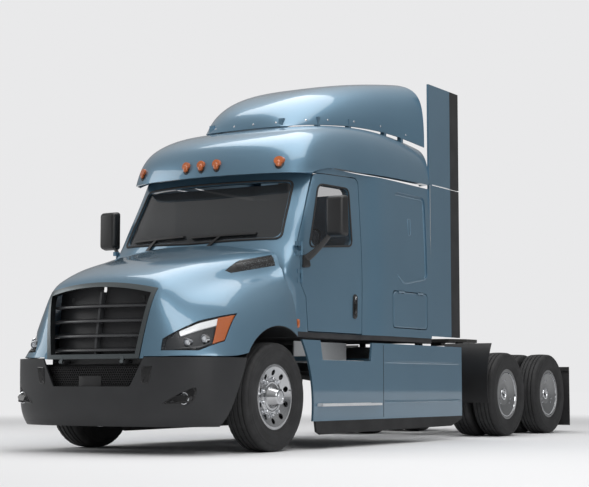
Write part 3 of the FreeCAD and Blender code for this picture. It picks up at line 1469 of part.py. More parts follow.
# Roof cap: each station runs from the centre line over the shoulder down to the side seam.
# Shares of the sleeper's half width, of the sleeper's rear end and of the cap's top height.
cap_shares = (
    ((0, .124, .797), (.333, .130, .797), (.617, .152, .797), (.783, .184, .7985), (.858, .212, .80),
     (.883, .232, .8015), (.897, .25, .803)),
    ((0, .130, .835), (.333, .136, .835), (.617, .160, .835), (.792, .196, .835), (.875, .232, .832),
     (.904, .272, .829), (.914, .317, .825)),
    ((0, .145, .885), (.333, .152, .885), (.617, .178, .884), (.80, .222, .880), (.883, .27, .868),
     (.912, .33, .85), (.922, .40, .831)),
    ((0, .21, .928), (.333, .222, .928), (.617, .25, .927), (.80, .29, .922), (.887, .345, .905),
     (.92, .41, .87), (.93, .48, .831)),
    ((0, .36, .974), (.333, .365, .974), (.617, .38, .973), (.81, .42, .965), (.90, .46, .935),
     (.935, .50, .885), (.95, .56, .833)),
    ((0, .60, 1.0), (.333, .60, 1.0), (.617, .60, .999), (.83, .61, .99), (.93, .63, .955),
     (.965, .65, .90), (.978, .68, .836)),
    ((0, .82, 1.003), (.333, .82, 1.003), (.617, .82, 1.002), (.84, .82, .993), (.945, .82, .96),
     (.975, .82, .90), (.985, .82, .839)),
    ((0, 1.0, .985), (.333, 1.0, .985), (.617, 1.0, .984), (.84, 1.0, .975), (.945, 1.0, .945),
     (.975, 1.0, .895), (.985, 1.0, .842)),
)
# Roof fairing: the same, from its front edge to its rear edge
fairing_shares = (
    ((0, .370, .9735), (.167, .371, .9735), (.30, .374, .9735), (.375, .380, .974), (.417, .386, .974),
     (.437, .392, .975), (.45, .40, .976)),
    ((0, .374, 1.02), (.183, .380, 1.02), (.35, .394, 1.014), (.442, .41, 1.005), (.50, .432, .995),
     (.525, .445, .989), (.55, .46, .984)),
    ((0, .46, 1.083), (.25, .463, 1.083), (.433, .482, 1.071), (.55, .507, 1.05), (.608, .527, 1.024),
     (.633, .54, 1.008), (.65, .552, .994)),
    ((0, .634, 1.139), (.30, .634, 1.139), (.517, .643, 1.124), (.667, .66, 1.095), (.733, .672, 1.05),
     (.75, .682, 1.022), (.758, .691, .999)),
    ((0, .824, 1.18), (.375, .824, 1.18), (.633, .824, 1.169), (.79, .83, 1.13), (.842, .837, 1.071),
     (.85, .843, 1.03), (.852, .85, .994)),
    ((0, .99, 1.198), (.417, .99, 1.198), (.733, .99, 1.189), (.90, .99, 1.148), (.942, .99, 1.08),
     (.95, .99, 1.02), (.95, .99, .968)),
)


# places of the fairing's feet, as shares of the half width and of the sleeper's rear end
foot_shares = ((0.365, 0.392), (0.56, 0.496), (0.679, 0.6235), (0.794, 0.794), (0.849, 0.879))


def roof_rows(shares):
    rows = []
    for station in shares:
        row = [vec(body_half * x, at(size.sleeperRear * y), size.capTop * z) for x, y, z in station]
        rows.append(whole_row(row))
    return rows


def roof():
    grid = roof_rows(cap_shares)
    skin = panel("cap_skin", grid, size.capWall)
    # a level rim inside the skin sits on the cab's walls
    low = size.cabTop
    reach = body_half + size.overrun
    back = at(size.sleeperRear)
    slab = box("cap_rim_slab", (-reach, reach), (at(ORIGIN), back), (low, low + size.rimRise))
    rim = common("cap_rim", feature("cap_rim_band", thick(grid, size.capWall / 2, size.capWall * 3)), slab)
    # the rear end is closed, and nothing of the cap reaches into the cab
    closing = common("cap_rear", feature("cap_rear_room", thick(grid, size.capWall / 2, size.rearFrame)),
                     box("cap_rear_slab", (-reach, reach), (back - size.capWall, back), (low, size.topHeight)))
    behind = box("cap_behind", (-reach, reach), (back, back + size.capTop / 2), (low - size.overrun, size.topHeight))
    node(cut("cap_solid", fuse("cap_whole", skin, rim, closing), behind, doc.getObject("cab_outer")), "roof_cap")

    fairing_grid = roof_rows(fairing_shares)
    shell = panel("fairing_skin", fairing_grid, size.fairingWall)
    seat = feature("fairing_seat", thick(grid, -size.footRise, ORIGIN))
    feet = []
    for number, (x_share, y_share) in enumerate(foot_shares):
        for sign in (-1, 1):
            x = body_half * (x_share * sign)
            y = at(size.sleeperRear * y_share)
            feet.append(box(f"fairing_foot_{number}_{'right' if sign < 0 else 'left'}",
                            (x - size.footWidth / 2, x + size.footWidth / 2), (y - size.footWidth / 2, y + size.footWidth / 2),
                            (size.cabTop, size.topHeight)))
    node(fuse("fairing_solid", shell, common("fairing_feet", seat, fuse("fairing_posts", *feet))), "roof_fairing")

    # marker lamps seated on the cap's front
    lamps = []
    lamp_z = size.capTop * 0.835
    bulge = feature("cap_bulge", thick(grid, -size.markerRise, ORIGIN))
    for number, share in enumerate((-0.70, -0.155, 0.0, 0.155, 0.70)):
        x = body_half * share
        lamps.append(common(f"marker_{number}", bulge, rod(f"marker_rod_{number}", "y", (x, lamp_z), size.markerRadius,
                                                           at(ORIGIN), at(size.doorFront * 1.6))))
    node(together("marker_set", *lamps), "marker_lamps")


def extenders():
    wall = size.extenderWall
    start = at(size.sleeperRear)
    end = at(size.extenderEnd)
    edge = at(size.extenderEdge)
    low = size.floorTop + size.cabWall * 0.4
    split = size.cabTop + size.cabWall * 0.9
    top = size.topHeight - size.cabWall * 0.8
    outer = body_half * 0.985
    blue = []
    black = []
    for label, bottom, upper in (("low", low, split - size.moveGap * 2), ("high", split, top)):
        blue.append(box(f"extender_{label}", (outer - wall, outer), (start, end), (bottom, upper)))
        black.append(box(f"edge_{label}", (outer - wall, outer), (end, edge), (bottom, upper)))
    link = box("extender_link", (outer - wall, outer), (start + wall, start + wall * 3), (low, top))
    node(both_sides("extender_set", fuse("extender_side", *blue, link)), "side_extenders")
    node(both_sides("edge_set", together("edge_side", *black)), "extender_edges")


def chassis_fairings():
    wall = size.skirtWall
    outer = body_half
    front = size.skirtFront
    arch = size.archRadius
    top = size.skirtTop
    low = size.skirtLow
    rear = at(size.skirtRear)
    outline = [
        (at(arch * 0.60), top), (at(arch * 0.86), blend(low, top, 0.55), "arc"), (at(front * 1.0 + arch * 0.05), low),
        (rear, low), (rear, top)]
    skin = prism("skirt", "yz", outline, outer - wall, outer)
    # the upper step well is open through the skin, the lower step stands proud of it
    well = prism("step_well", "yz", [
        (at(size.doorFront * 1.56), size.skirtTop * 0.82), (at(size.doorRear * 1.04), size.skirtTop * 0.82),
        (at(size.doorRear * 1.06), top + size.overrun), (at(size.doorFront * 1.45), top + size.overrun)],
        outer - wall - size.overrun, outer + size.overrun)
    pieces = [cut("skirt_open", skin, well)]
    web = rail_half
    for number, share in enumerate((0.174, 0.518, 0.94)):
        y = at(size.skirtRear * share)
        pieces.append(box(f"skirt_arm_{number}", (web, outer - wall / 2), (y - wall, y + wall),
                          (rail_low + size.railWidth, rail_low + size.railWidth + wall * 2)))
    side = fuse("skirt_side", *pieces)
    node(both_sides("skirt_set", side), "chassis_fairings")

    strip_front = at(front * 1.08 + arch * 0.05)
    strip = prism("rubber_strip", "yz", [
        (strip_front, low), (strip_front + size.cabWall * 0.3, size.rubberLow + size.cabWall * 0.4),
        (strip_front + size.cabWall * 1.4, size.rubberLow), (rear - size.cabWall * 4, size.rubberLow + size.cabWall * 0.3),
        (rear, low - size.cabWall * 0.5), (rear, low)], outer - wall, outer)
    node(both_sides("strip_set", strip), "skirt_rubbers")

    treads = []
    for number, (one, other, z, reach) in enumerate((
            (size.doorFront * 1.5, size.doorRear * 1.06, size.skirtTop * 0.82, outer - wall),
            (size.doorFront * 1.36, size.doorRear * 1.12, size.skirtTop * 0.415, outer))):
        treads.append(box(f"step_{number}", (reach - size.stepDepth if number == 0 else reach,
                                             reach if number == 0 else reach + size.stepProud),
                          (at(one), at(other)), (z - size.stepWall, z)))
    well_back = box("step_back", (outer - wall - size.stepDepth, outer - wall - size.stepDepth + size.stepWall / 2),
                    (at(size.doorFront * 1.5), at(size.doorRear * 1.06)), (size.skirtTop * 0.82, size.skirtTop))
    treads = [fuse("upper_step", treads[0], well_back), treads[1]]
    node(both_sides("step_set", together("step_side", *treads)), "cab_steps")


def rear_body():
    # quarter fenders stand ahead of the first drive tyres
    inner = size.rearTrack / 2 - size.dualSpacing / 2 - size.tyreWidth / 2
    outer = size.rearTrack / 2 + size.dualSpacing / 2 + size.tyreWidth / 2
    face = first_y - size.tyreRadius - size.guardGap
    guard = prism("guard", "yz", [
        (face + size.railWall, size.guardLow), (face - size.railWall, blend(size.guardLow, size.guardTop, 0.55), "arc"),
        (face + size.guardGap, size.guardTop), (face + size.guardGap, size.guardTop + size.railWall),
        (face - size.railWall * 2, blend(size.guardLow, size.guardTop, 0.55), "arc"), (face, size.guardLow)],
        inner, outer)
    arm = box("guard_arm", (rail_half, inner + size.railWidth), (face - size.railWall * 3, face + size.railWall / 4),
              (rail_low + size.railWidth, rail_low + size.railWidth * 1.5))
    node(both_sides("guard_set", fuse("guard_side", guard, arm)), "quarter_fenders")

    flap_y = rear_y - size.crossWidth / 2
    flap = box("flap", (inner, outer), (flap_y, flap_y + size.railWall), (size.flapLow, size.flapTop))
    bar = box("flap_bar", (rail_half, outer), (flap_y - size.railWall * 2, flap_y), (size.flapTop - size.railWall * 6, size.flapTop))
    node(both_sides("flap_set", fuse("flap_side", flap, bar)), "mud_flaps")

    lamp_z = rail_low + size.railHeight / 2
    tail = box("tail_box", (rail_half, rail_half + size.tailWidth), (rear_y - size.railWall * 4, rear_y),
               (lamp_z - size.railWidth / 2, lamp_z + size.railWidth / 2))
    node(both_sides("tail_set", tail), "tail_lamps")


def fifth_wheel():
    centre = at(size.plateReach)
    top = size.plateTop
    low = top - size.plateWall
    wide = size.plateWidth / 2
    long = size.plateLength / 2
    throat = size.jawRadius
    # horseshoe plate with the throat open to the rear
    outline = [
        (-wide, centre - long * 0.35), (-wide * 0.72, centre - long * 0.9), (ORIGIN, centre - long, "arc"),
        (wide * 0.72, centre - long * 0.9), (wide, centre - long * 0.35), (wide, centre + long * 0.35),
        (wide * 0.62, centre + long), (wide * 0.30, centre + long), (throat, centre + size.plateWall),
        (-throat, centre + size.plateWall), (-wide * 0.30, centre + long), (-wide * 0.62, centre + long),
        (-wide, centre + long * 0.35)]
    plate = prism("coupler_plate", "xy", outline, low, top)
    bore = rod("jaw_bore", "z", (ORIGIN, centre), size.jawRadius, low - size.plateWall * 2, top + size.overrun)
    jaw = box("jaw_block", (-size.jawRadius * 3, size.jawRadius * 3), (centre - size.jawRadius * 3, centre + size.plateWall),
              (low - size.plateWall, low))
    ribs = [box(f"plate_rib_{sign}", (wide * (0.62 * sign) - size.plateWall / 2, wide * (0.62 * sign) + size.plateWall / 2),
                (centre - size.plateWall * 2, centre + size.plateWall * 2), (low - size.plateTilt, low)) for sign in (-1, 1)]
    pin_z = low - size.plateTilt / 2
    pin_holes = rod("tilt_hole", "x", (centre, pin_z), size.pinRadius / 2 + size.hubPlay / 20, -wide, wide)
    node(cut("plate_solid", fuse("plate_whole", plate, jaw, *ribs), bore, pin_holes), "fifth_wheel_plate")

    stand_top = pin_z + size.pinRadius * 0.75
    stand_outline = [
        (centre - size.plateWall * 2, size.railTop), (centre + size.plateWall * 2, size.railTop),
        (centre + size.pinRadius, stand_top), (centre - size.pinRadius, stand_top)]
    stands = []
    for sign in (-1, 1):
        x = wide * (0.62 * sign)
        side = (x + size.plateWall / 2 + size.yokePlay, x + size.plateWall * 1.1)
        other = (x - size.plateWall * 1.1, x - size.plateWall / 2 - size.yokePlay)
        for number, span in enumerate((side, other)):
            stands.append(prism(f"stand_{'right' if sign < 0 else 'left'}_{number}", "yz", stand_outline,
                                span[0], span[1]))
        stands.append(rod(f"tilt_pin_{sign}", "x", (centre, pin_z), size.pinRadius / 2, x - size.plateWall * 1.1,
                          x + size.plateWall * 1.1))
    base = box("stand_base", (-rail_half, rail_half), (centre - long * 0.6, centre + long * 0.6),
               (size.railTop, size.railTop + size.railWall * 1.4))
    node(fuse("stand_solid", base, *stands), "fifth_wheel_base")


def tanks():
    radius = size.tankRadius
    x = body_half - size.skirtWall - size.moveGap * 3 - radius
    z = size.railTop - size.railWall - radius
    start = at(size.flareEnd + size.cabWall)
    end = at(size.sleeperRear + size.cabWall * 2)
    tank = rod("tank", "y", (x, z), radius, start, end)
    straps = []
    for number, share in enumerate((0.2, 0.8)):
        y = blend(start, end, share)
        straps.append(box(f"tank_arm_{number}", (rail_half, x), (y - size.railWall * 3, y + size.railWall * 3),
                          (rail_low + size.railWall, rail_low + size.railWall * 5)))
    node(both_sides("tank_set", fuse("tank_side", tank, *straps)), "fuel_tanks")


def mirrors():
    root_y = at(size.doorFront) + size.cabWall * 0.5
    root_z = blend(size.floorTop, size.glassBase, 0.77)
    head_x = body_half * 1.07
    head_y = at(size.mirrorSet)
    low = size.glassBase + size.cabWall * 0.35
    top = low + size.mirrorHeight
    head = prism("mirror_head", "xz", [
        (head_x, low + size.cabWall * 0.3), (head_x + size.mirrorWidth * 0.5, low, "arc"), (head_x + size.mirrorWidth, low + size.cabWall * 0.3),
        (head_x + size.mirrorWidth, top - size.cabWall * 0.5), (head_x + size.mirrorWidth * 0.5, top, "arc"),
        (head_x, top - size.cabWall * 0.5)], head_y - size.mirrorDepth, head_y)
    lower_arm = box("mirror_arm_low", (cab_half - size.cabWall * 0.2, head_x + size.cabWall), (root_y, root_y + size.cabWall * 0.8),
                    (root_z - size.cabWall * 0.3, root_z + size.cabWall * 0.3))
    riser = prism("mirror_riser", "xz", [
        (head_x - size.cabWall * 0.2, root_z - size.cabWall * 0.3), (head_x + size.cabWall, root_z - size.cabWall * 0.3),
        (head_x + size.cabWall * 1.6, low + size.cabWall), (head_x + size.cabWall * 0.4, low + size.cabWall)],
        root_y, head_y - size.mirrorDepth * 0.2)
    trimmed = cut("mirror_arm_fit", lower_arm, doc.getObject("door_left_solid"))
    arm = fuse("mirror_left_solid", head, trimmed, riser)
    node(arm, "mirror_left")
    node(mirrored("mirror_right_solid", arm), "mirror_right")


def wipers():
    """Two blades on the glass, each on an arm from a pivot on the cowl."""
    rise = -size.wiperRise
    on_glass = feature("wiper_on_glass", between_rows(cab_rows(rise), cab_rows(size.glassInset - size.seatGap)))
    on_cowl = feature("wiper_on_cowl", between_rows(cab_rows(rise), cab_rows(-size.seatGap)))
    low = size.glassBase + size.cabWall * blade_low_share
    back = at(size.windscreenSet * 1.4)
    blades = []
    for number, (start, end, pivot) in enumerate(blade_shares):
        one = size.glassWidth / 2 * start
        other = size.glassWidth / 2 * end
        foot = size.glassWidth / 2 * pivot
        blade = prism(f"wiper_blade_{number}", "xz", [
            (one, low), (other, low + size.cabWall * 0.25), (other, low + size.cabWall * 0.5),
            (one, low + size.cabWall * 0.25)], at(ORIGIN), back)
        middle = (one + other) / 2
        arm = prism(f"wiper_arm_{number}", "xz", [
            (foot - size.wiperRise, size.glassBase - size.cabWall), (foot + size.wiperRise, size.glassBase - size.cabWall),
            (middle + size.wiperRise / 2, low + size.cabWall * 0.4), (middle - size.wiperRise / 2, low + size.cabWall * 0.4)],
            at(ORIGIN), back)
        blades.append(fuse(f"wiper_{number}", common(f"wiper_blade_fit_{number}", on_glass, blade),
                           common(f"wiper_arm_fit_{number}", on_cowl, arm)))
    node(together("wiper_set", *blades), "wipers")


# each wiper's inner end, outer end and pivot, as shares of half the glass width
blade_shares = ((-0.78, -0.08, -0.55), (0.02, 0.74, 0.22))
blade_low_share = 0.55


def between_rows(outer_rows, inner_rows):
    outer = sheet_face(outer_rows)
    inner = sheet_face(inner_rows)
    faces = [outer.toShape(), inner.toShape()]
    for one, other in zip(border(outer), border(inner)):
        faces.append(Part.makeRuledSurface(one, other))
    return solid_of(faces)


def finish():
    doc.recompute()
    failed = [item.Name for item in doc.Objects if "Invalid" in item.State or "Error" in item.State]
    if failed:
        raise RuntimeError("did not build: " + ", ".join(failed))
    unsound = []
    for item in nodes:
        shape = item.Shape
        if shape.isNull() or not shape.isValid() or shape.Volume <= 0:
            unsound.append(item.Label)
    if unsound:
        raise RuntimeError("no sound solid in: " + ", ".join(unsound))
    for item in nodes:
        item.Shape.exportStep(f"parts/{item.Label}.step")
        print(item.Label, len(item.Shape.Solids), round(item.Shape.Volume))


frame()
bumper()
hood()
radiator()
drive_axles()
powertrain()
steering()
for side, name in ((1, "left"), (-1, "right")):
    front_wheel(side, name)
    drive_wheels(side, "first_" + name, first_y)
    drive_wheels(side, "second_" + name, second_y)
suspension()
cab()
floor()
inside()
roof()
extenders()
chassis_fairings()
rear_body()
fifth_wheel()
tanks()
mirrors()
wipers()
finish()
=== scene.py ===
import bmesh
import bpy
from math import cos, exp, pi, radians, sin, sqrt
from mathutils import Matrix, Vector
from mathutils.bvhtree import BVHTree


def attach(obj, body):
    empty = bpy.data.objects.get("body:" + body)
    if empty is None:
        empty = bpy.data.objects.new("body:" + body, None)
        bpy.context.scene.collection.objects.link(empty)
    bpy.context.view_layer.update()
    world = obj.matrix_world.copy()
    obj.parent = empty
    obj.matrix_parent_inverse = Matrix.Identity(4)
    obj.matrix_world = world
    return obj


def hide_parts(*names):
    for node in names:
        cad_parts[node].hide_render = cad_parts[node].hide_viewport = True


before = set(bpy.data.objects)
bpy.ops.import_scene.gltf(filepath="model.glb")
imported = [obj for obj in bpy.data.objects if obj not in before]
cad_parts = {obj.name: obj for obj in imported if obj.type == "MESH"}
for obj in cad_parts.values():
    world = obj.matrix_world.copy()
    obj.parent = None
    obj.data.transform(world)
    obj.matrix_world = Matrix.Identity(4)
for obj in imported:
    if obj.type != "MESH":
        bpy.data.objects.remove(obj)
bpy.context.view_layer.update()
print("frame loaded:", len(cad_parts), "nodes")

axleY = -2.975          # front axle; lengths along the truck are measured from it
wheelZ = 0.508
driveAxles = {"first": 2.245, "second": 3.565}
sides = {"left": 1, "right": -1}


# Shader helpers

def linear(red, green, blue):
    def channel(value):
        value /= 255
        return value / 12.92 if value <= 0.04045 else ((value + 0.055) / 1.055) ** 2.4
    return (channel(red), channel(green), channel(blue), 1.0)


class Value:
    # a number socket that can be written in sums
    def __init__(self, nodes, socket):
        self.nodes = nodes
        self.socket = socket

    def maths(self, operation, *terms):
        return self.nodes.node("Math", {"operation": operation}, dict(enumerate(terms)))

    def __add__(self, other):
        return self.maths("ADD", self, other)

    def __sub__(self, other):
        return self.maths("SUBTRACT", self, other)

    def __rsub__(self, other):
        return self.maths("SUBTRACT", other, self)

    def __mul__(self, other):
        return self.maths("MULTIPLY", self, other)

    __radd__ = __add__
    __rmul__ = __mul__

    def wave(self, pitch):
        return self.maths("SINE", self * (2 * pi / pitch))

    def between(self, low, high):
        # 0 below low, 1 above high, smooth between them
        return self.nodes.node("MapRange", {"interpolation_type": "SMOOTHSTEP"},
                               {"Value": self, "From Min": low, "From Max": high})


class Nodes:
    # a node tree, and the one way to add a node to it
    def __init__(self, tree):
        self.tree = tree

    def node(self, kind, settings=None, values=None, out=0):
        made = self.tree.nodes.new("ShaderNode" + kind)
        for key, value in (settings or {}).items():
            if key == "stops":
                while len(made.color_ramp.elements) < len(value):
                    made.color_ramp.elements.new(1.0)
                for element, (position, colour) in zip(made.color_ramp.elements, value):
                    element.position = position
                    element.color = colour
            else:
                setattr(made, key, value)
        for key, value in (values or {}).items():
            if isinstance(value, Value):
                self.tree.links.new(value.socket, made.inputs[key])
            else:
                made.inputs[key].default_value = value
        return Value(self, made.outputs[out])


class Finish(Nodes):
    # one material, built round a Principled shader
    def __init__(self, name, colour, rough, metal=0.0, **fixed):
        self.material = bpy.data.materials.new(name)
        self.material.use_nodes = True
        super().__init__(self.material.node_tree)
        self.shader = self.tree.nodes["Principled BSDF"]
        self.set("Base Color", linear(*colour))
        self.set("Roughness", rough)
        self.set("Metallic", metal)
        for socket, value in fixed.items():
            self.set(socket.replace("_", " "), value)
        self.place = None

    def set(self, socket, value):
        target = self.shader.inputs[socket]
        if isinstance(value, Value):
            self.tree.links.new(value.socket, target)
        else:
            target.default_value = value

    def where(self):
        if self.place is None:
            self.place = self.node("TexCoord", out="Object")
        return self.place

    def axis(self, name):
        return self.node("SeparateXYZ", values={0: self.where()}, out="XYZ".index(name))

    def radius(self):
        # distance from the object's own X axis, for anything that turns
        flat = self.node("VectorMath", {"operation": "MULTIPLY"}, {0: self.where(), 1: (0, 1, 1)})
        return self.node("VectorMath", {"operation": "LENGTH"}, {0: flat}, out="Value")

    def noise(self, scale, detail=3.0, stretch=None, rough=0.5):
        spot = self.where()
        if stretch:
            spot = self.node("Mapping", values={"Vector": spot, "Scale": stretch})
        return self.node("TexNoise", values={"Vector": spot, "Scale": scale, "Detail": detail,
                                             "Roughness": rough}, out="Fac")

    def dress(self, factor, one, other, rough=None, bump=None):
        # two colours by a factor, the roughness, and a bump of height, strength and distance
        self.set("Base Color", self.node("Mix", {"data_type": "RGBA"},
                                         {0: factor, 6: linear(*one), 7: linear(*other)}, out=2))
        if rough is not None:
            self.set("Roughness", rough)
        if bump:
            self.set("Normal", self.node("Bump", values=dict(zip(("Height", "Strength", "Distance"), bump))))
        return self


# Finishes

def toned(colour, times=1, plus=0):
    return tuple(part * times + plus for part in colour)


def paintFinish():
    paint = Finish("metallic blue paint", (92, 132, 158), 0.34, 0.55, Coat_Weight=1.0, Coat_Roughness=0.03)
    flake, cloud = paint.noise(900, 2), paint.noise(1.3, 2)
    return paint.dress((flake - 0.5) * 0.8 + cloud * 0.5 + 0.2, (84, 117, 139), (103, 137, 158),
                       0.30 + flake * 0.12, (flake, 0.02, 0.0004))


def grainPlastic(name, colour, rough, grain=420, depth=0.0006, spread=8):
    plastic = Finish(name, colour, rough)
    leather, dust = plastic.noise(grain, 2), plastic.noise(2.2, 4)
    return plastic.dress(dust.between(0.35, 0.75), colour, toned(colour, plus=spread),
                         rough - 0.08 + leather * 0.16, (leather, 0.25, depth))


def brushedMetal(name, colour, rough, stretch=(1, 1, 1), scale=60, metal=1.0, strength=0.05):
    brushed = Finish(name, colour, rough, metal)
    lines, smear = brushed.noise(scale, 3, stretch), brushed.noise(3, 3)
    return brushed.dress(lines * 0.6 + smear * 0.4, toned(colour, 0.86), colour,
                         rough * 0.8 + lines * rough * 0.5, (lines, strength, 0.0005))


def turnedMetal(name, colour, rough, pitch=0.003):
    # fine rings about the axis, as on a spun or machined face
    turned = Finish(name, colour, rough, 1.0)
    rings = turned.radius().wave(pitch) * 0.5 + 0.5
    smear = turned.noise(9, 3)
    return turned.dress(smear * 0.7 + rings * 0.3, toned(colour, 0.82), colour,
                        rough + smear * rough * 0.8, (rings, 0.05, 0.0002))


def rubberFinish(name, colour=(30, 30, 31), rough=0.72):
    rubber = Finish(name, colour, rough)
    pores, dust = rubber.noise(260, 4), rubber.noise(4, 4)
    return rubber.dress(dust.between(0.3, 0.8), colour, toned(colour, plus=14),
                        rough - 0.1 + pores * 0.2, (pores, 0.2, 0.0008))


def tyreFinish():
    rubber = Finish("tyre rubber", (34, 34, 35), 0.7)
    reach = rubber.radius()
    rings = reach.wave(0.006) * 0.5 + 0.5
    wall = 1 - reach.between(0.455, 0.485)
    dust = rubber.noise(7, 5)
    return rubber.dress(dust.between(0.35, 0.75) * 0.8 + (1 - wall) * 0.2, (30, 30, 31), (50, 50, 51),
                        0.6 + dust * 0.25, (rings * wall + rubber.noise(240, 3) * 0.4, 0.25, 0.0012))


def glassFinish(name, colour, alpha):
    glass = Finish(name, colour, 0.03, 0.0, Alpha=alpha, Specular_IOR_Level=0.6)
    haze = glass.noise(1.6, 3)
    return glass.dress(haze, colour, toned(colour, plus=10), 0.02 + haze * 0.03)


def lensFinish(name, colour, glow=0.0):
    lens = Finish(name, colour, 0.12, 0.0, Coat_Weight=1.0, Coat_Roughness=0.02)
    ribs = lens.axis("Z").wave(0.006) * 0.5 + 0.5
    if glow:
        lens.set("Emission Color", linear(*colour))
        lens.set("Emission Strength", glow)
    return lens.dress(ribs, toned(colour, 0.8), colour, bump=(ribs, 0.3, 0.001))


def clothFinish(name, colour):
    cloth = Finish(name, colour, 0.9, 0.0, Sheen_Weight=0.3)
    weave = (cloth.axis("X").wave(0.004) * cloth.axis("Z").wave(0.004)) * 0.5 + 0.5
    threads = weave * 0.6 + cloth.noise(60, 3) * 0.4
    return cloth.dress(threads, colour, toned(colour, plus=22), bump=(weave, 0.4, 0.001))


finishes = {
    "paint": paintFinish(),
    "bumper": grainPlastic("bumper grained plastic", (33, 34, 36), 0.48),
    "black": grainPlastic("black moulded plastic", (26, 26, 27), 0.42, 600, 0.0004),
    "chrome": brushedMetal("bright chrome", (214, 216, 219), 0.09, (1, 1, 1), 30, 1.0, 0.01),
    "lampShell": grainPlastic("headlamp shell", (40, 42, 45), 0.25, 260, 0.0003),
    "lampBar": lensFinish("bright lamp bar", (236, 238, 240), 0.25),
    "projector": glassFinish("projector lens", (216, 220, 226), 1.0),
    "clear": glassFinish("clear lamp cover", (120, 124, 128), 0.06),
    "mirrorGlass": brushedMetal("mirror glass", (190, 194, 198), 0.03, (1, 1, 1), 4, 1.0, 0.002),
    "shadow": grainPlastic("unlit backing", (10, 10, 11), 0.9, 120, 0.0005, 3),
    "trim": brushedMetal("bright trim strip", (176, 180, 184), 0.3, (1, 1, 10)),
    "blade": grainPlastic("grille blade plastic", (52, 53, 55), 0.34, 500, 0.0003),
    "blackPanel": grainPlastic("grille backing panel", (36, 36, 38), 0.5, 300, 0.0004),
    "gloss": grainPlastic("gloss black plastic", (18, 18, 19), 0.18, 300, 0.0002, 4),
    "satin": brushedMetal("satin grey metal", (112, 118, 120), 0.34, (1, 1, 12)),
    "polished": turnedMetal("polished aluminium", (205, 206, 208), 0.13),
    "cover": turnedMetal("spun wheel cover", (168, 169, 170), 0.30, 0.005),
    # the steps' aluminium with its colour raised and metal lowered so the steps read brightly lit: painted light
    # over the metal's own colour
    "aluminium": brushedMetal("aluminium lightened with painted light", (232, 234, 236), 0.34, (12, 1, 1), 60, 0.35),
    "tankMetal": brushedMetal("brushed tank aluminium", (150, 152, 155), 0.32, (1, 14, 1)),
    "chassis": grainPlastic("chassis black paint", (26, 27, 29), 0.58, 90, 0.001, 10),
    "iron": grainPlastic("cast iron", (46, 46, 47), 0.66, 160, 0.002, 16),
    "engine": grainPlastic("engine grey paint", (74, 78, 82), 0.5, 70, 0.002, 12),
    "steel": brushedMetal("machined steel", (120, 121, 123), 0.36, (1, 1, 8)),
    "grease": grainPlastic("greased steel plate", (40, 38, 35), 0.35, 40, 0.0015, 14),
    "rubber": rubberFinish("black rubber"),
    "tyre": tyreFinish(),
    "screen": glassFinish("tinted windscreen", (40, 42, 44), 0.86),
    "window": glassFinish("tinted window", (44, 46, 50), 0.30),
    "amber": lensFinish("amber lens", (196, 98, 34)),
    "red": lensFinish("red lens", (130, 14, 16)),
    "cloth": clothFinish("seat cloth", (58, 60, 64)),
    "dash": grainPlastic("dashboard plastic", (48, 49, 52), 0.6, 350, 0.0006),
    "carpet": rubberFinish("floor covering", (44, 44, 46), 0.9),
}
print("finishes made:", len(finishes))

nodeFinishes = {    # a star stands for left and right
    "paint": "hood cab_front_frame sleeper_shell door_* baggage_door_* roof_cap roof_fairing side_extenders "
             "chassis_fairings",
    "bumper": "front_bumper",
    "gloss": "headlamps hood_vents",
    "black": "bumper_mesh grille_louvres wheel_well_liners mirror_* wipers quarter_fenders tail_lamps",
    "satin": "grille_surround",
    "polished": "front_wheel_*",
    "cover": "drive_wheel_first_* drive_wheel_second_*",
    "aluminium": "cab_steps",
    "tankMetal": "fuel_tanks",
    "chassis": "frame_rails suspension driveshafts fifth_wheel_base radiator",
    "iron": "front_axle knuckle_* tie_rod drive_axles",
    "engine": "engine",
    "grease": "fifth_wheel_plate",
    "rubber": "extender_edges skirt_rubbers mud_flaps",
    "tyre": "front_tyre_* drive_tyres_first_* drive_tyres_second_*",
    "screen": "windshield",
    "window": "door_glass_*",
    "amber": "marker_lamps",
    "cloth": "seats_and_bunk",
    "dash": "dashboard",
    "carpet": "cab_floor",
}


def coat(obj, finish):
    obj.data.materials.clear()
    obj.data.materials.append(finishes[finish].material)


for finish, names in nodeFinishes.items():
    for name in names.split():
        for side in sides:
            coat(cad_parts[name.replace("*", side)], finish)


# Mesh helpers

class Maker:
    # gathers the points and faces of one piece
    def __init__(self):
        self.points = []
        self.faces = []

    def loft(self, rings, closed=True):
        start = len(self.points)
        count = len(rings[0])
        for ring in rings:
            self.points.extend(Vector(point) for point in ring)
        for row in range(len(rings) - 1):
            for step in range(count if closed else count - 1):
                one = start + row * count + step
                two = start + row * count + (step + 1) % count
                self.faces.append((one, two, two + count, one + count))
        return start

    def cap(self, start, count):
        self.faces.append(tuple(range(start, start + count)))

    def solid(self, rings):
        # a closed form: a loft with both ends filled
        count = len(rings[0])
        start = self.loft(rings)
        self.cap(start, count)
        self.cap(start + (len(rings) - 1) * count, count)

    def piece(self, name, body, finish, centre=(0, 0, 0), sharp=35):
        middle = Vector(centre)
        mesh = bpy.data.meshes.new(name)
        mesh.from_pydata([point - middle for point in self.points], [], self.faces)
        work = bmesh.new()
        work.from_mesh(mesh)
        bmesh.ops.remove_doubles(work, verts=work.verts, dist=0.00001)
        bmesh.ops.dissolve_degenerate(work, edges=work.edges, dist=0.00001)
        bmesh.ops.recalc_face_normals(work, faces=work.faces)
        work.to_mesh(mesh)
        work.free()
        mesh.shade_smooth()
        mesh.set_sharp_from_angle(angle=radians(sharp))
        return placed(name, mesh, body, finish, middle)


def linked(name, data, spot=(0, 0, 0)):
    obj = bpy.data.objects.new(name, data)
    obj.location = spot
    bpy.context.scene.collection.objects.link(obj)
    return obj


def placed(name, data, body, finish, centre=(0, 0, 0)):
    obj = linked(name, data, centre)
    coat(obj, finish)
    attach(obj, body)
    return obj


skinTrees = {}


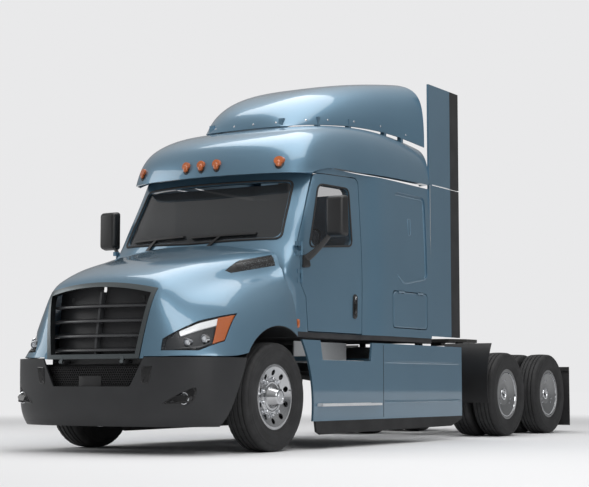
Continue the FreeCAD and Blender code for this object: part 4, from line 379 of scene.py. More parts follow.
class Skin:
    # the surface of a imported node, so that trim lies on it
    def __init__(self, name):
        if name not in skinTrees:
            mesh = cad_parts[name].data
            skinTrees[name] = BVHTree.FromPolygons([point.co.copy() for point in mesh.vertices],
                                                   [tuple(face.vertices) for face in mesh.polygons])
        self.tree = skinTrees[name]
        self.last = 0

    def hit(self, start, way, reach=100):
        return self.tree.ray_cast(Vector(start), Vector(way), reach)[:2]

    def find(self, start, way, axis):
        # where a ray misses, the depth of the last hit stands in
        spot = self.hit(start, way)[0]
        if spot is None:
            spot = Vector(start)
            spot[axis] = self.last
        self.last = spot[axis]
        return spot, -Vector(way)

    def front(self, x, z):
        return self.find((x, -9, z), (0, 1, 0), 1)

    def back(self, x, z):
        return self.find((x, 9, z), (0, -1, 0), 1)

    def flank(self, side):
        sign = sides[side]
        return lambda y, z: self.find((3 * sign, axleY + y, z), (-sign, 0, 0), 0)


def roundedBox(name, size, edge, segments, profile, taper=(1, 1)):
    # a box with round edges; taper narrows its front
    work = bmesh.new()
    bmesh.ops.create_cube(work, size=1.0)
    bmesh.ops.scale(work, vec=size, verts=work.verts)
    for point in work.verts:
        if point.co.y < 0:
            point.co.x *= taper[0]
            point.co.z *= taper[1]
    bmesh.ops.bevel(work, geom=list(work.edges), offset=edge, segments=segments, profile=profile, affect="EDGES")
    mesh = bpy.data.meshes.new(name)
    work.to_mesh(mesh)
    work.free()
    return mesh


def oval(at, across, up, count=28):
    angles = [turn * 2 * pi / count for turn in range(count)]
    return [(at[0] + across * cos(angle), at[1] + up * sin(angle)) for angle in angles]


def softCorners(corners, radius, count=6):
    # a polygon with its corners rounded
    outline = []
    for index, corner in enumerate(corners):
        here = Vector(corner)
        before = Vector(corners[index - 1]) - here
        after = Vector(corners[(index + 1) % len(corners)]) - here
        reach = min(radius, before.length * 0.48, after.length * 0.48)
        start = here + before.normalized() * reach
        end = here + after.normalized() * reach
        for step in range(count + 1):
            share = step / count
            spot = start * (1 - share) ** 2 + here * 2 * share * (1 - share) + end * share ** 2
            outline.append((spot.x, spot.y))
    return outline


def rounded(width, height, radius, at=(0, 0)):
    half, rise = width / 2, height / 2
    corners = [(at[0] - half, at[1] - rise), (at[0] + half, at[1] - rise),
               (at[0] + half, at[1] + rise), (at[0] - half, at[1] + rise)]
    return softCorners(corners, radius)


def mirrored(outline, sign):
    return [(sign * across, up) for across, up in outline]


def middleOf(outline):
    count = len(outline)
    return sum(spot[0] for spot in outline) / count, sum(spot[1] for spot in outline) / count


def scaled(middle, spot, scale):
    return [here + (there - here) * scale for here, there in zip(middle, spot)]


def divided(outline, pitch=0.02):
    # more points on long edges, so that a trim follows a curved skin
    points = []
    for index, spot in enumerate(outline):
        here, after = Vector(spot), Vector(outline[(index + 1) % len(outline)])
        count = max(1, round((after - here).length / pitch))
        points.extend(tuple(here.lerp(after, step / count)) for step in range(count))
    return points


def plate(maker, outline, lay, lift):
    # a shaped plate on a skin; lift lists a scale of the outline and a height for each ring
    dense = divided(outline)
    middle = middleOf(dense)
    rings = []
    for scale, height in lift:
        laid = [lay(*scaled(middle, spot, scale)) for spot in dense]
        rings.append([spot + outward * height for spot, outward in laid])
    start = maker.loft(rings)
    maker.cap(start + (len(rings) - 1) * len(dense), len(dense))


def plated(name, body, finish, outline, lay, lift):
    maker = Maker()
    plate(maker, outline, lay, lift)
    return maker.piece(name, body, finish)


def solidPiece(name, body, finish, rings):
    maker = Maker()
    maker.solid(rings)
    return maker.piece(name, body, finish)


def tube(name, body, finish, points, radius, closed=False):
    curve = bpy.data.curves.new(name, "CURVE")
    curve.dimensions = "3D"
    curve.bevel_depth = radius
    curve.bevel_resolution = 2
    line = curve.splines.new("POLY")
    line.points.add(len(points) - 1)
    for target, spot in zip(line.points, points):
        target.co = (*spot, 1)
    line.use_cyclic_u = closed
    curve.use_fill_caps = True
    return placed(name, curve, body, finish)


def seal(name, body, finish, outline, lay, radius, lift=0.0):
    laid = [lay(*spot) for spot in divided(outline)]
    points = [spot + outward * lift for spot, outward in laid]
    return tube(name, body, finish, points, radius, closed=True)


def wheelPoint(middle, reach, radius, angle):
    return (middle[0] + reach, middle[1] + radius * cos(angle), middle[2] + radius * sin(angle))


def spun(maker, profile, middle, sign, count=48):
    # a profile of (reach along X, radius) turned about a wheel's axis
    angles = [turn * 2 * pi / count for turn in range(count)]
    maker.loft([[wheelPoint(middle, sign * reach, radius, angle) for angle in angles]
                for reach, radius in profile])


nutShape = (
    (1.3, 0.0, 0), (1.3, 0.15, 0), (1, 0.2, 1), (1, 0.75, 1),   # scale, rise, hexagon or round
    (0.8, 0.85, 0), (0.55, 1.0, 0), (0.1, 1.06, 0),
)


def nut(maker, spot, way, radius, height):
    # a flanged hexagon nut with a domed end
    forward = Vector(way).normalized()
    across = forward.orthogonal().normalized()
    up = forward.cross(across)
    rings = []
    for scale, rise, hexagon in nutShape:
        centre = Vector(spot) + forward * height * rise
        ring = []
        for turn in range(24):
            angle = turn * pi / 12
            reach = radius * scale
            if hexagon:
                reach *= cos(pi / 6) / cos(angle % (pi / 3) - pi / 6)
            ring.append(centre + across * reach * cos(angle) + up * reach * sin(angle))
        rings.append(ring)
    maker.solid(rings)


def lensRings(centre, steps):
    # circles round a line along Y: radius and reach for each
    return [[Vector((spot[0], centre.y + reach, spot[1])) for spot in oval((centre.x, centre.z), radius, radius)]
            for radius, reach in steps]


def inside(outline, u, v):
    hit = False
    for index, (oneU, oneV) in enumerate(outline):
        twoU, twoV = outline[index - 1]
        if (oneV > v) != (twoV > v) and u < (twoU - oneU) * (v - oneV) / (twoV - oneV) + oneU:
            hit = not hit
    return hit


def honeycomb(maker, outline, pitch, lay, depth=0.012, wall=0.18, margin=1.06):
    # hexagon cells whose rims share their edges
    middle = middleOf(outline)
    lowU, highU = min(spot[0] for spot in outline), max(spot[0] for spot in outline)
    lowV, highV = min(spot[1] for spot in outline), max(spot[1] for spot in outline)
    radius = pitch / sqrt(3)
    for row in range(int((highV - lowV) / (radius * 1.5)) + 1):
        for column in range(int((highU - lowU) / pitch) + 1):
            u = lowU + (column + 0.5 * (row % 2)) * pitch
            v = lowV + row * radius * 1.5
            if not inside(outline, *scaled(middle, (u, v), margin)):
                continue
            rings = []
            for scale, height in ((1, -depth), (1, 0.0), (1 - wall, 0.0), (1 - wall, -depth)):
                ring = []
                for corner in range(6):
                    angle = radians(30 + corner * 60)
                    spot, outward = lay(u + radius * scale * cos(angle), v + radius * scale * sin(angle))
                    ring.append(spot + outward * height)
                rings.append(ring)
            maker.loft(rings[1:])       # the first ring only settles the depth where a ray misses


# Tyres

tyre = {
    "segments": 160, "notchEvery": 4, "notch": 0.006, "inner": (0.112, 0.3052),
    "front": 1.03, "dual": 0.91, "dualHalf": 0.165,
}

# half of the section, from the middle of the tread out to the bead: reach, radius, notched or not
treadHalf = (
    (0, 0.508, 0), (0.0185, 0.5078, 0), (0.0215, 0.5055, 1), (0.0235, 0.4945, 0), (0.0305, 0.4945, 0),
    (0.0325, 0.505, 1), (0.0355, 0.5073, 0), (0.064, 0.5058, 0), (0.067, 0.5035, 1),
    (0.069, 0.4925, 0), (0.076, 0.4925, 0), (0.078, 0.5025, 1), (0.081, 0.5048, 0),
    (0.103, 0.5025, 0), (0.113, 0.4998, 1), (0.1195, 0.4955, 1), (0.126, 0.4885, 1),
    (0.13, 0.481, 0), (0.1315, 0.474, 0), (0.135, 0.473, 0), (0.1378, 0.46, 0),
    (0.1398, 0.446, 0), (0.1412, 0.4445, 0), (0.1414, 0.4415, 0), (0.1408, 0.44, 0),
    (0.1425, 0.42, 0), (0.1422, 0.4, 0), (0.1405, 0.38, 0), (0.1408, 0.377, 0),
    (0.14, 0.374, 0), (0.1355, 0.35, 0), (0.129, 0.333, 0), (0.1285, 0.33, 0),
    (0.1262, 0.3285, 0), (0.1235, 0.317, 0), (0.1195, 0.306, 0), (0.113, 0.3052, 0),
)


def treadTyre(maker, middle):
    profile = [(-reach, radius, cut) for reach, radius, cut in reversed(treadHalf[1:])] + list(treadHalf)
    reach, radius = tyre["inner"]
    profile += [(reach, radius, 0), (-reach, radius, 0)]
    count = tyre["segments"]
    rings = []
    for turn in range(count):
        depth = 0 if turn % tyre["notchEvery"] else tyre["notch"]
        angle = turn * 2 * pi / count
        rings.append([wheelPoint(middle, reach, radius - depth * cut, angle) for reach, radius, cut in profile])
    maker.loft(rings + rings[:1])


for side, sign in sides.items():
    centre = (sign * tyre["front"], axleY, wheelZ)
    maker = Maker()
    treadTyre(maker, centre)
    piece = maker.piece("treaded_front_tyre_" + side, "front_wheel_" + side, "tyre", centre)
    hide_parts("front_tyre_" + side)
    for axle, y in driveAxles.items():
        centre = (sign * tyre["dual"], y, wheelZ)
        maker = Maker()
        for step in (-1, 1):
            treadTyre(maker, (centre[0] + step * tyre["dualHalf"], y, wheelZ))
        piece = maker.piece(f"treaded_twin_tyres_{axle}_{side}", f"drive_wheel_{axle}_{side}", "tyre", centre)
        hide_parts(f"drive_tyres_{axle}_{side}")
print("tyres made")


# Wheel nuts, hub caps and covers; profiles give reach and radius

hub = {
    "nuts": 10, "nutCircle": 0.1675, "nutSize": (0.0165, 0.03), "faceX": 1.1065,
    "cap": ((1.196, 0.07), (1.2015, 0.066), (1.2025, 0.052), (1.1995, 0.049), (1.1995, 0.03),
        (1.2035, 0.026), (1.2035, 0.002)),
    "flange": ((1.1065, 0.15), (1.113, 0.147), (1.1145, 0.128), (1.112, 0.12)),
    "valve": (1.138, 0.262, 0.06), "valveLean": 0.1, "valveSize": (0.0045, 0.03),
}
wheelCover = {
    "rim": ((1.176, 0.272), (1.1815, 0.269), (1.1815, 0.262), (1.175, 0.258)),
    "port": ((1.14, 0.074), (1.147, 0.071), (1.147, 0.054), (1.1385, 0.05), (1.134, 0.042),
        (1.131, 0.02)),
    "screwX": 1.152, "screwCircle": 0.17, "screwSize": (0.009, 0.009), "screwGap": 0.16,
}

for side, sign in sides.items():
    middle = (0, axleY, wheelZ)
    maker = Maker()
    for turn in range(hub["nuts"]):
        angle = (turn + 0.5) * 2 * pi / hub["nuts"]
        nut(maker, wheelPoint(middle, sign * hub["faceX"], hub["nutCircle"], angle), (sign, 0, 0), *hub["nutSize"])
    spun(maker, hub["cap"], middle, sign, 40)
    spun(maker, hub["flange"], middle, sign, 64)
    maker.piece("wheel_nuts_front_" + side, "front_wheel_" + side, "chrome", middle)
    maker = Maker()
    out, rear, up = hub["valve"]
    nut(maker, (sign * out, axleY + rear, wheelZ + up), (sign, hub["valveLean"], 0), *hub["valveSize"])
    maker.piece("valve_front_" + side, "front_wheel_" + side, "steel", middle)
    for axle, y in driveAxles.items():
        middle = (0, y, wheelZ)
        maker = Maker()
        spun(maker, wheelCover["rim"], middle, sign, 72)
        spun(maker, wheelCover["port"], middle, sign)
        for turn in range(3):
            for gap in (-wheelCover["screwGap"], wheelCover["screwGap"]):
                angle = radians(90 + turn * 120) + gap
                spot = wheelPoint(middle, sign * wheelCover["screwX"], wheelCover["screwCircle"], angle)
                nut(maker, spot, (sign, 0, 0), *wheelCover["screwSize"])
        maker.piece(f"cover_rings_{axle}_{side}", f"drive_wheel_{axle}_{side}", "chrome", middle)
print("wheels dressed")


# Headlamps: u runs along the lamp from its inner end, v from its low edge up

lamp = {
    "low": ((0.72, 0.92), (0.992, 0.92), (1.098, 1.006)),
    "top": ((0.72, 0.925), (0.72, 1.023), (0.928, 1.188), (1.098, 1.264)),
    "middle": (0.9, 1.05), "fit": 0.985, "depth": 0.062, "lip": 0.01, "skin": 0.001,
    "inner": 0.03, "coverInner": 0.02, "crown": 0.004,
    "bar": ((0.4, 0.84), (0.7, 0.93), 0.014, 0.05),    # spans of u and v, near and far depths
    "amber": ((0.845, 0.985), (0.05, 0.95), 0.008, 0.055),
    "ribs": (((0.16, 0.83), (0.08, 0.13), 0.016, 0.05), ((0.19, 0.83), (0.08, 0.11), 0.028, 0.05),
        ((0.22, 0.83), (0.08, 0.09), 0.04, 0.05)),
    "projectors": ((0.47, 0.36, 0.03), (0.7, 0.35, 0.034)), "projectorDepth": 0.045,
    "bezel": ((1.25, 0.012), (1.22, -0.024), (1, -0.028), (0.94, -0.02), (0.92, 0)),
    "lens": ((0.92, -0.006), (0.86, -0.016), (0.66, -0.025), (0.35, -0.03), (0.03, -0.031)),
}
lampSkin = Skin("headlamps")


def lineSpot(line, share):
    lengths = [(Vector(line[step + 1]) - Vector(line[step])).length for step in range(len(line) - 1)]
    left = share * sum(lengths)
    for step, length in enumerate(lengths):
        if left <= length or step == len(lengths) - 1:
            return Vector(line[step]).lerp(Vector(line[step + 1]), min(1, left / length))
        left -= length


def lampSpot(sign, u, v, depth):
    flat = lineSpot(lamp["low"], u).lerp(lineSpot(lamp["top"], u), v)
    x, z = scaled(lamp["middle"], flat, lamp["fit"])
    spot = lampSkin.front(sign * x, z)[0]
    return Vector((sign * x, spot.y + depth, z))


def between(span, step, count):
    return span[0] + (span[1] - span[0]) * step / count


def lampSheet(maker, sign, spanU, spanV, depth, columns, rows, bulge=0):
    rings = []
    for row in range(rows + 1):
        ring = []
        for column in range(columns + 1):
            swell = bulge * sin(pi * row / rows) * sin(pi * column / columns)
            ring.append(lampSpot(sign, between(spanU, column, columns), between(spanV, row, rows), depth - swell))
        rings.append(ring)
    maker.loft(rings, closed=False)


def lampEdge(spanU, spanV, columns, rows):
    # the low, the outer and the upper edge of a patch, in turn
    edge = [(between(spanU, step, columns), spanV[0]) for step in range(columns + 1)]
    edge += [(spanU[1], between(spanV, step, rows)) for step in range(1, rows + 1)]
    return edge + [(between(spanU[::-1], step, columns), spanV[1]) for step in range(1, columns + 1)]


def lampBlock(maker, sign, spanU, spanV, near, far, columns=14, rows=6):
    # a crowned front and the walls behind it, for the indicator, the bright bar and the ribs
    lampSheet(maker, sign, spanU, spanV, near, columns, rows, lamp["crown"])
    edge = lampEdge(spanU, spanV, columns, rows)
    edge += [(spanU[0], between(spanV[::-1], step, rows)) for step in range(1, rows)]
    maker.loft([[lampSpot(sign, u, v, depth) for u, v in edge] for depth in (near, far)])


for side, sign in sides.items():
    housing = Maker()
    whole = (lamp["inner"], 1)
    lampSheet(housing, sign, whole, (0, 1), lamp["depth"], 20, 8)
    housing.loft([[lampSpot(sign, u, v, depth) for u, v in lampEdge(whole, (0, 1), 24, 8)]
                  for depth in (lamp["skin"], lamp["lip"], lamp["depth"])])
    for rib in lamp["ribs"]:
        lampBlock(housing, sign, *rib)
    body = housing.piece("headlamp_housing_" + side, "hood", "lampShell")
    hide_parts("headlamps")
    for name, part, finish in (("bar", "bar", "lampBar"), ("indicator", "amber", "amber")):
        maker = Maker()
        lampBlock(maker, sign, *lamp[part])
        maker.piece(f"headlamp_{name}_{side}", "hood", finish)
    for name, part, finish in (("bezels", "bezel", "chrome"), ("lenses", "lens", "projector")):
        maker = Maker()
        for u, v, radius in lamp["projectors"]:
            centre = lampSpot(sign, u, v, lamp["projectorDepth"])
            maker.solid(lensRings(centre, [(radius * scale, reach) for scale, reach in lamp[part]]))
        maker.piece(f"headlamp_{name}_{side}", "hood", finish)
    maker = Maker()
    lampSheet(maker, sign, (lamp["coverInner"], 1), (0, 1), lamp["skin"], 24, 12)
    maker.piece("headlamp_cover_" + side, "hood", "clear")
print("headlamps made")


# Honeycomb in the bumper's opening

bumperMesh = {
    "pitch": 0.024, "outline": ((-0.5, 0.585), (0.5, 0.585), (0.555, 0.795), (-0.555, 0.795)),
    "faceY": -4.232, "bow": 0.12, "rake": 0.05, "rakeFrom": 0.6,
    "plate": ((-0.16, 0.6), (0.1, 0.6), (0.1, 0.7), (-0.16, 0.7)),
    "plateLift": ((1, -0.004), (1, 0.004), (0.97, 0.006), (0.3, 0.006)),
    # backing: a near-black sheet behind the honeycomb, a painted shadow for the dark opening behind the mesh
    "backing": ((-0.56, 0.572), (0.56, 0.572), (0.6, 0.8), (-0.6, 0.8)), "shadeSheetY": -4.19, "shadeSheetRound": 0.03,
    "shadeSheetLift": ((1, -0.006), (1, 0), (0.3, 0)),
}
forward = Vector((0, -1, 0))


def meshFace(x, z):
    # the bowed face behind the bumper's opening
    rake = (z - bumperMesh["rakeFrom"]) * bumperMesh["rake"]
    return Vector((x, bumperMesh["faceY"] + bumperMesh["bow"] * x * x + rake, z)), forward


# the face of the near-black sheet that paints the shadow behind the honeycomb
def shadeSheetFace(x, z):
    return Vector((x, bumperMesh["shadeSheetY"] + bumperMesh["bow"] * x * x, z)), forward


maker = Maker()
honeycomb(maker, bumperMesh["outline"], bumperMesh["pitch"], meshFace)
plate(maker, bumperMesh["plate"], meshFace, bumperMesh["plateLift"])
meshPiece = maker.piece("bumper_honeycomb", "chassis", "black")
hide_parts("bumper_mesh")
# painted shadow: a near-black sheet set behind the honeycomb where the opening is in shade
outline = softCorners(bumperMesh["backing"], bumperMesh["shadeSheetRound"])
plated("honeycomb_shade_sheet", "chassis", "shadow", outline, shadeSheetFace, bumperMesh["shadeSheetLift"])


# Grille blades, post and backing panels

grille = {
    "blades": (0.925, 1.055, 1.19, 1.325), "reach": 0.105, "lip": 0.022, "overlap": 0.012, "steps": 32,
    "endFrom": 0.82, "endPull": 0.25, "faceY": -4.232, "bow": 0.3, "rakeFrom": 0.95, "rake": 0.16,
    "low": (0.845, 0.52), "top": (1.48, 0.578),    # height and half width of the opening
    "post": 0.012, "postLevels": (0.86, 1, 1.15, 1.3, 1.46), "postSet": 0.03, "postDeep": 0.06,
    "panelTop": 1.525, "panelGap": 0.016, "panelOver": 0.03, "panelSet": 0.088, "panelEdge": 0.006,
    "foot": ((0.797, 0.052), (0.806, 0.044), (0.868, 0.044), (0.876, 0.052)), "footHalf": 0.6,
}


def grilleHalf(z):
    share = (z - grille["low"][0]) / (grille["top"][0] - grille["low"][0])
    return grille["low"][1] + (grille["top"][1] - grille["low"][1]) * share


def grilleFace(x, z):
    # the bowed face that the blades' edges lie on
    return grille["faceY"] + grille["bow"] * x * x + max(0, z - grille["rakeFrom"]) * grille["rake"]


maker = Maker()
lip, deep = grille["lip"], grille["reach"]
for z in grille["blades"]:
    rings = []
    for step in range(grille["steps"] + 1):
        share = step / grille["steps"] * 2 - 1
        x = share * (grilleHalf(z) + grille["overlap"])
        face = grilleFace(x, z)
        pull = grille["endPull"] * max(0, abs(share) - grille["endFrom"]) / (1 - grille["endFrom"])
        section = ((face + 0.002, z - 0.006), (face, z + 0.002), (face + 0.004, z + lip * 0.55),
                   (face + deep * (1 - pull), z + lip * 1.5), (face + deep, z + 0.004), (face + 0.02, z - 0.01))
        rings.append([(x, y, height) for y, height in section])
    maker.solid(rings)
rings = []
half = grille["post"]
for z in grille["postLevels"]:
    near = grilleFace(0, z) + grille["postSet"]
    far = near + grille["postDeep"]
    rings.append([(-half, near, z), (half, near, z), (half, far, z), (-half, far, z)])
maker.solid(rings)
blades = maker.piece("grille_blades", "hood", "blade")
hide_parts("grille_louvres")

maker = Maker()
for low, high in zip((grille["low"][0],) + grille["blades"], grille["blades"] + (grille["panelTop"],)):
    span = (grille["panelGap"], grilleHalf((low + high) / 2) + grille["panelOver"])
    for sign in (-1, 1):
        rings = []
        for share in (0, 0.01, 0.03, 0.5, 0.97, 0.99, 1):
            z = low + (high - low) * share
            back = grille["panelSet"] + (grille["panelEdge"] if share in (0, 1) else 0)
            row = [sign * between(span, step, 12) for step in range(13)]
            rings.append([(x, grilleFace(x, z) + back, z) for x in row])
        maker.loft(rings, closed=False)
maker.piece("grille_panels", "hood", "blackPanel")
maker = Maker()
row = [step / 20 * grille["footHalf"] for step in range(-20, 21)]
maker.loft([[(x, grilleFace(x, z) + back, z) for x in row] for z, back in grille["foot"]], closed=False)
maker.piece("grille_foot", "hood", "black")


# Vents in the hood's sides, fog lamps and tow pads

vent = {
    "pitch": 0.0186, "depth": 0.006, "wall": 0.3, "frameRadius": 0.0045, "frameRound": 0.03,
    "rows": (((-0.195, 1.6685), (0.272, 1.753), (0.286, 1.795), (-0.201, 1.7085)),
        ((-0.192, 1.723), (0.296, 1.812), (0.31, 1.854), (-0.198, 1.763))),
    "frame": ((-0.232, 1.752), (-0.212, 1.66), (0.274, 1.75), (0.322, 1.862)),
}
fog = {
    "pocket": ((0.735, 0.448), (0.985, 0.462), (1.02, 0.56), (1.012, 0.606), (0.955, 0.575), (0.8, 0.492)),
    "pocketLift": ((1, -0.002), (1, 0.003), (0.93, 0.005), (0.9, 0.001), (0.72, 0.0008)),
    "towPad": ((0.555, 0.625), (0.628, 0.63), (0.66, 0.778), (0.652, 0.784), (0.56, 0.78)),
    "towPadLift": ((1, -0.002), (1, 0.002), (0.9, 0.004), (0.86, 0.001), (0.3, 0.001)),
    "lamp": (0.926, 0.501), "above": 0.062, "set": 0.012, "pocketRound": 0.03, "towPadRound": 0.02,
    "ring": ((0.054, 0.03), (0.054, -0.016), (0.047, -0.019), (0.043, -0.01), (0.03, 0.012), (0.004, 0.018)),
    "lens": ((0.046, -0.012), (0.034, -0.017), (0.018, -0.02), (0.002, -0.021)),
}
ventSkin = Skin("hood_vents")
bumperSkin = Skin("front_bumper")
for side, sign in sides.items():
    maker = Maker()
    for outline in vent["rows"]:
        honeycomb(maker, outline, vent["pitch"], ventSkin.flank(side), vent["depth"], vent["wall"])
    maker.piece("vent_honeycomb_" + side, "hood", "satin")
    seal("vent_frame_" + side, "hood", "gloss", softCorners(vent["frame"], vent["frameRound"]),
         ventSkin.flank(side), vent["frameRadius"])
for side, sign in sides.items():
    maker = Maker()
    for part in ("pocket", "towPad"):
        outline = softCorners(mirrored(fog[part], sign), fog[part + "Round"])
        plate(maker, outline, bumperSkin.front, fog[part + "Lift"])
    maker.piece("fog_pocket_" + side, "chassis", "gloss")
    x, z = sign * fog["lamp"][0], fog["lamp"][1]
    centre = Vector((x, bumperSkin.front(x, z + fog["above"])[0].y + fog["set"], z))
    for name, finish in (("ring", "chrome"), ("lens", "clear")):
        solidPiece(f"fog_lamp_{name}_{side}", "chassis", finish, lensRings(centre, fog[name]))
print("front dressed")


# Windscreen and door seals, handles, mirror glass

screen = {
    "edge": ((-0.946, 2.03), (0, 2.006), (0.946, 2.03), (0.89, 2.634), (0, 2.64), (-0.89, 2.634)),
    "round": 0.06, "radius": 0.013,
}
door = {
    "window": ((0.667, 1.962), (0.913, 2.611), (1.492, 2.625), (1.506, 2.033)), "windowRound": 0.075,
    "sealRadius": 0.01, "handle": (1.545, 1.415), "plate": (0.078, 0.25, 0.036),
    "plateLift": ((1, -0.002), (1, 0.006), (0.93, 0.012), (0.8, 0.012), (0.72, 0.004), (0.4, 0.003)),
    "paddle": (0.04, 0.12, 0.016), "paddleDrop": 0.012,
    "paddleLift": ((1, 0.002), (1, 0.01), (0.86, 0.016), (0.5, 0.018)),
    "lock": 0.017, "lockRise": 0.088,
    "lockLift": ((1, 0.004), (1, 0.014), (0.8, 0.017), (0.3, 0.015), (0.25, 0.012)),
}
mirrorGlass = {
    "x": 1.399, "width": 0.18, "round": 0.03, "flat": (0.245, 2.315), "wide": (0.115, 2.115),
    "flatLift": ((1, -0.001), (1, 0.003), (0.97, 0.0035), (0.5, 0.0035)),
    "wideLift": ((1, -0.001), (1, 0.003), (0.9, 0.007), (0.5, 0.011), (0.2, 0.012)),
}
seal("windscreen_seal", "chassis", "rubber", softCorners(screen["edge"], screen["round"]),
     Skin("cab_front_frame").front, screen["radius"])
for side, sign in sides.items():
    body = "door_" + side
    lay = Skin(body).flank(side)
    y, z = door["handle"]
    seal("window_seal_" + side, body, "rubber", softCorners(door["window"], door["windowRound"]), lay,
         door["sealRadius"])
    plated("handle_plate_" + side, body, "black", rounded(*door["plate"], (y, z)), lay, door["plateLift"])
    plated("handle_paddle_" + side, body, "gloss", rounded(*door["paddle"], (y, z - door["paddleDrop"])), lay,
           door["paddleLift"])
    plated("handle_lock_" + side, body, "chrome", oval((y, z + door["lockRise"]), door["lock"], door["lock"], 24),
           lay, door["lockLift"])
    behind = Skin("mirror_" + side).back
    maker = Maker()
    for kind in ("flat", "wide"):
        height, z = mirrorGlass[kind]
        outline = rounded(mirrorGlass["width"], height, mirrorGlass["round"], (sign * mirrorGlass["x"], z))
        plate(maker, outline, behind, mirrorGlass[kind + "Lift"])
    maker.piece("mirror_glass_" + side, body, "mirrorGlass")
print("doors dressed")


# Roof lamps and fairing bolts

marker = {
    "places": (-0.84, -0.186, 0, 0.186, 0.84), "base": (2.79, 0.04, 0.055), "lens": (2.797, 0.027, 0.04),
    "baseLift": ((1, -0.002), (1, 0.004), (0.93, 0.007), (0.5, 0.007)),
    "lensLift": ((1, 0), (1, 0.018), (0.88, 0.03), (0.6, 0.037), (0.2, 0.039)),
}
bolts = {
    "front": (-0.62, -0.38, -0.12, 0.12, 0.38, 0.62), "sides": (-1.3, -0.95, -0.55, -0.15),
    "size": (0.009, 0.006), "sink": 0.001, "frontRise": 0.045, "sideRise": 0.05,
    "lowest": 3.1, "step": 0.012, "levels": 60,
}
capSkin = Skin("roof_cap")
fairingSkin = Skin("roof_fairing")
for part, name, finish in (("base", "marker_bases", "black"), ("lens", "marker_lenses", "amber")):
    maker = Maker()
    z, across, up = marker[part]
    for x in marker["places"]:
        plate(maker, oval((x, z), across, up), capSkin.front, marker[part + "Lift"])
    maker.piece(name, "chassis", finish)


def fairingBolt(maker, x, y, way, rise):
    # a bolt a little above the fairing's lower edge
    levels = [bolts["lowest"] + step * bolts["step"] for step in range(bolts["levels"])]
    height = next((z for z in levels if fairingSkin.hit((x, y, z), way)[0] is not None), None)
    if height is None:
        return
    spot, normal = fairingSkin.hit((x, y, height + rise), way)
    if spot is not None:
        nut(maker, spot - normal * bolts["sink"], normal, *bolts["size"])


maker = Maker()
for x in bolts["front"]:
    fairingBolt(maker, x, -5, (0, 1, 0), bolts["frontRise"])
for sign in sides.values():
    for y in bolts["sides"]:
        fairingBolt(maker, sign * 3, y, (-sign, 0, 0), bolts["sideRise"])
maker.piece("fairing_bolts", "chassis", "chrome")
print("roof dressed")


# Step grips, seals of the rear panels, side markers and tail lamps

grips = {
    "from": (0.895, 0.7), "count": (14, 36), "pitch": 0.028, "above": (0.98, 0.56), "drop": 0.18,
    "edge": 0.012, "stub": ((0.0085, -0.001), (0.00595, 0.0035), (0.003825, 0.0035), (0.0034, 0)),
}
trim = {
    "sealY": 3.172, "sealLevels": (1.2, 1.5, 1.8, 2.1, 2.4, 2.7, 2.85), "sealRadius": 0.005,
    "marker": (0.036, 0.085, 0.014, (0.452, 1.205)),
    "markerLift": ((1, -0.001), (1, 0.01), (0.8, 0.017), (0.4, 0.02)),
}
tail = {
    "rear": 4.275, "lensDeep": 0.013, "size": (0.15, 0.089, 0.018), "x": 0.507, "z": 0.8965,
    "lens": 0.03, "lensGap": 0.037, "housingLift": ((1, -0.023), (1, 0), (0.96, 0.002), (0.5, 0.002)),
    "lensLift": ((1, 0), (1, 0.007), (0.8, 0.011), (0.3, 0.0125)),
}
stepSkin = Skin("cab_steps")


def tailFace(x, z):
    return Vector((x, tail["rear"] - tail["lensDeep"], z)), Vector((0, 1, 0))


maker = Maker()
for sign in sides.values():
    for column in range(grips["count"][0]):
        x = sign * (grips["from"][0] + column * grips["pitch"])
        for row in range(grips["count"][1]):
            y = axleY + grips["from"][1] + row * grips["pitch"]
            for start in grips["above"]:
                under = [stepSkin.hit((x + beside, y, start), (0, 0, -1), grips["drop"])[0]
                         for beside in (0, sign * grips["edge"])]
                if None not in under:
                    maker.loft([[(*flat, under[0].z + rise) for flat in oval((x, y), reach, reach, 10)]
                                for reach, rise in grips["stub"]])
maker.piece("step_grips", "chassis", "aluminium")
for side, sign in sides.items():
    lay = Skin("side_extenders").flank(side)
    tube("extender_seal_" + side, "chassis", "trim", [lay(trim["sealY"], z)[0] for z in trim["sealLevels"]],
         trim["sealRadius"])
    plated("side_marker_" + side, "chassis", "amber", rounded(*trim["marker"]),
           Skin("cab_front_frame").flank(side), trim["markerLift"])
    housing = plated("tail_housing_" + side, "chassis", "black",
                     rounded(*tail["size"], (sign * tail["x"], tail["z"])), tailFace, tail["housingLift"])
    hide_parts("tail_lamps")
    maker = Maker()
    for step in (-1, 1):
        at = (sign * (tail["x"] + step * tail["lensGap"]), tail["z"])
        plate(maker, oval(at, tail["lens"], tail["lens"]), tailFace, tail["lensLift"])
    maker.piece("tail_lenses_" + side, "chassis", "red")
print("sides dressed")


# Pressed beads, skirt creases and mirrors

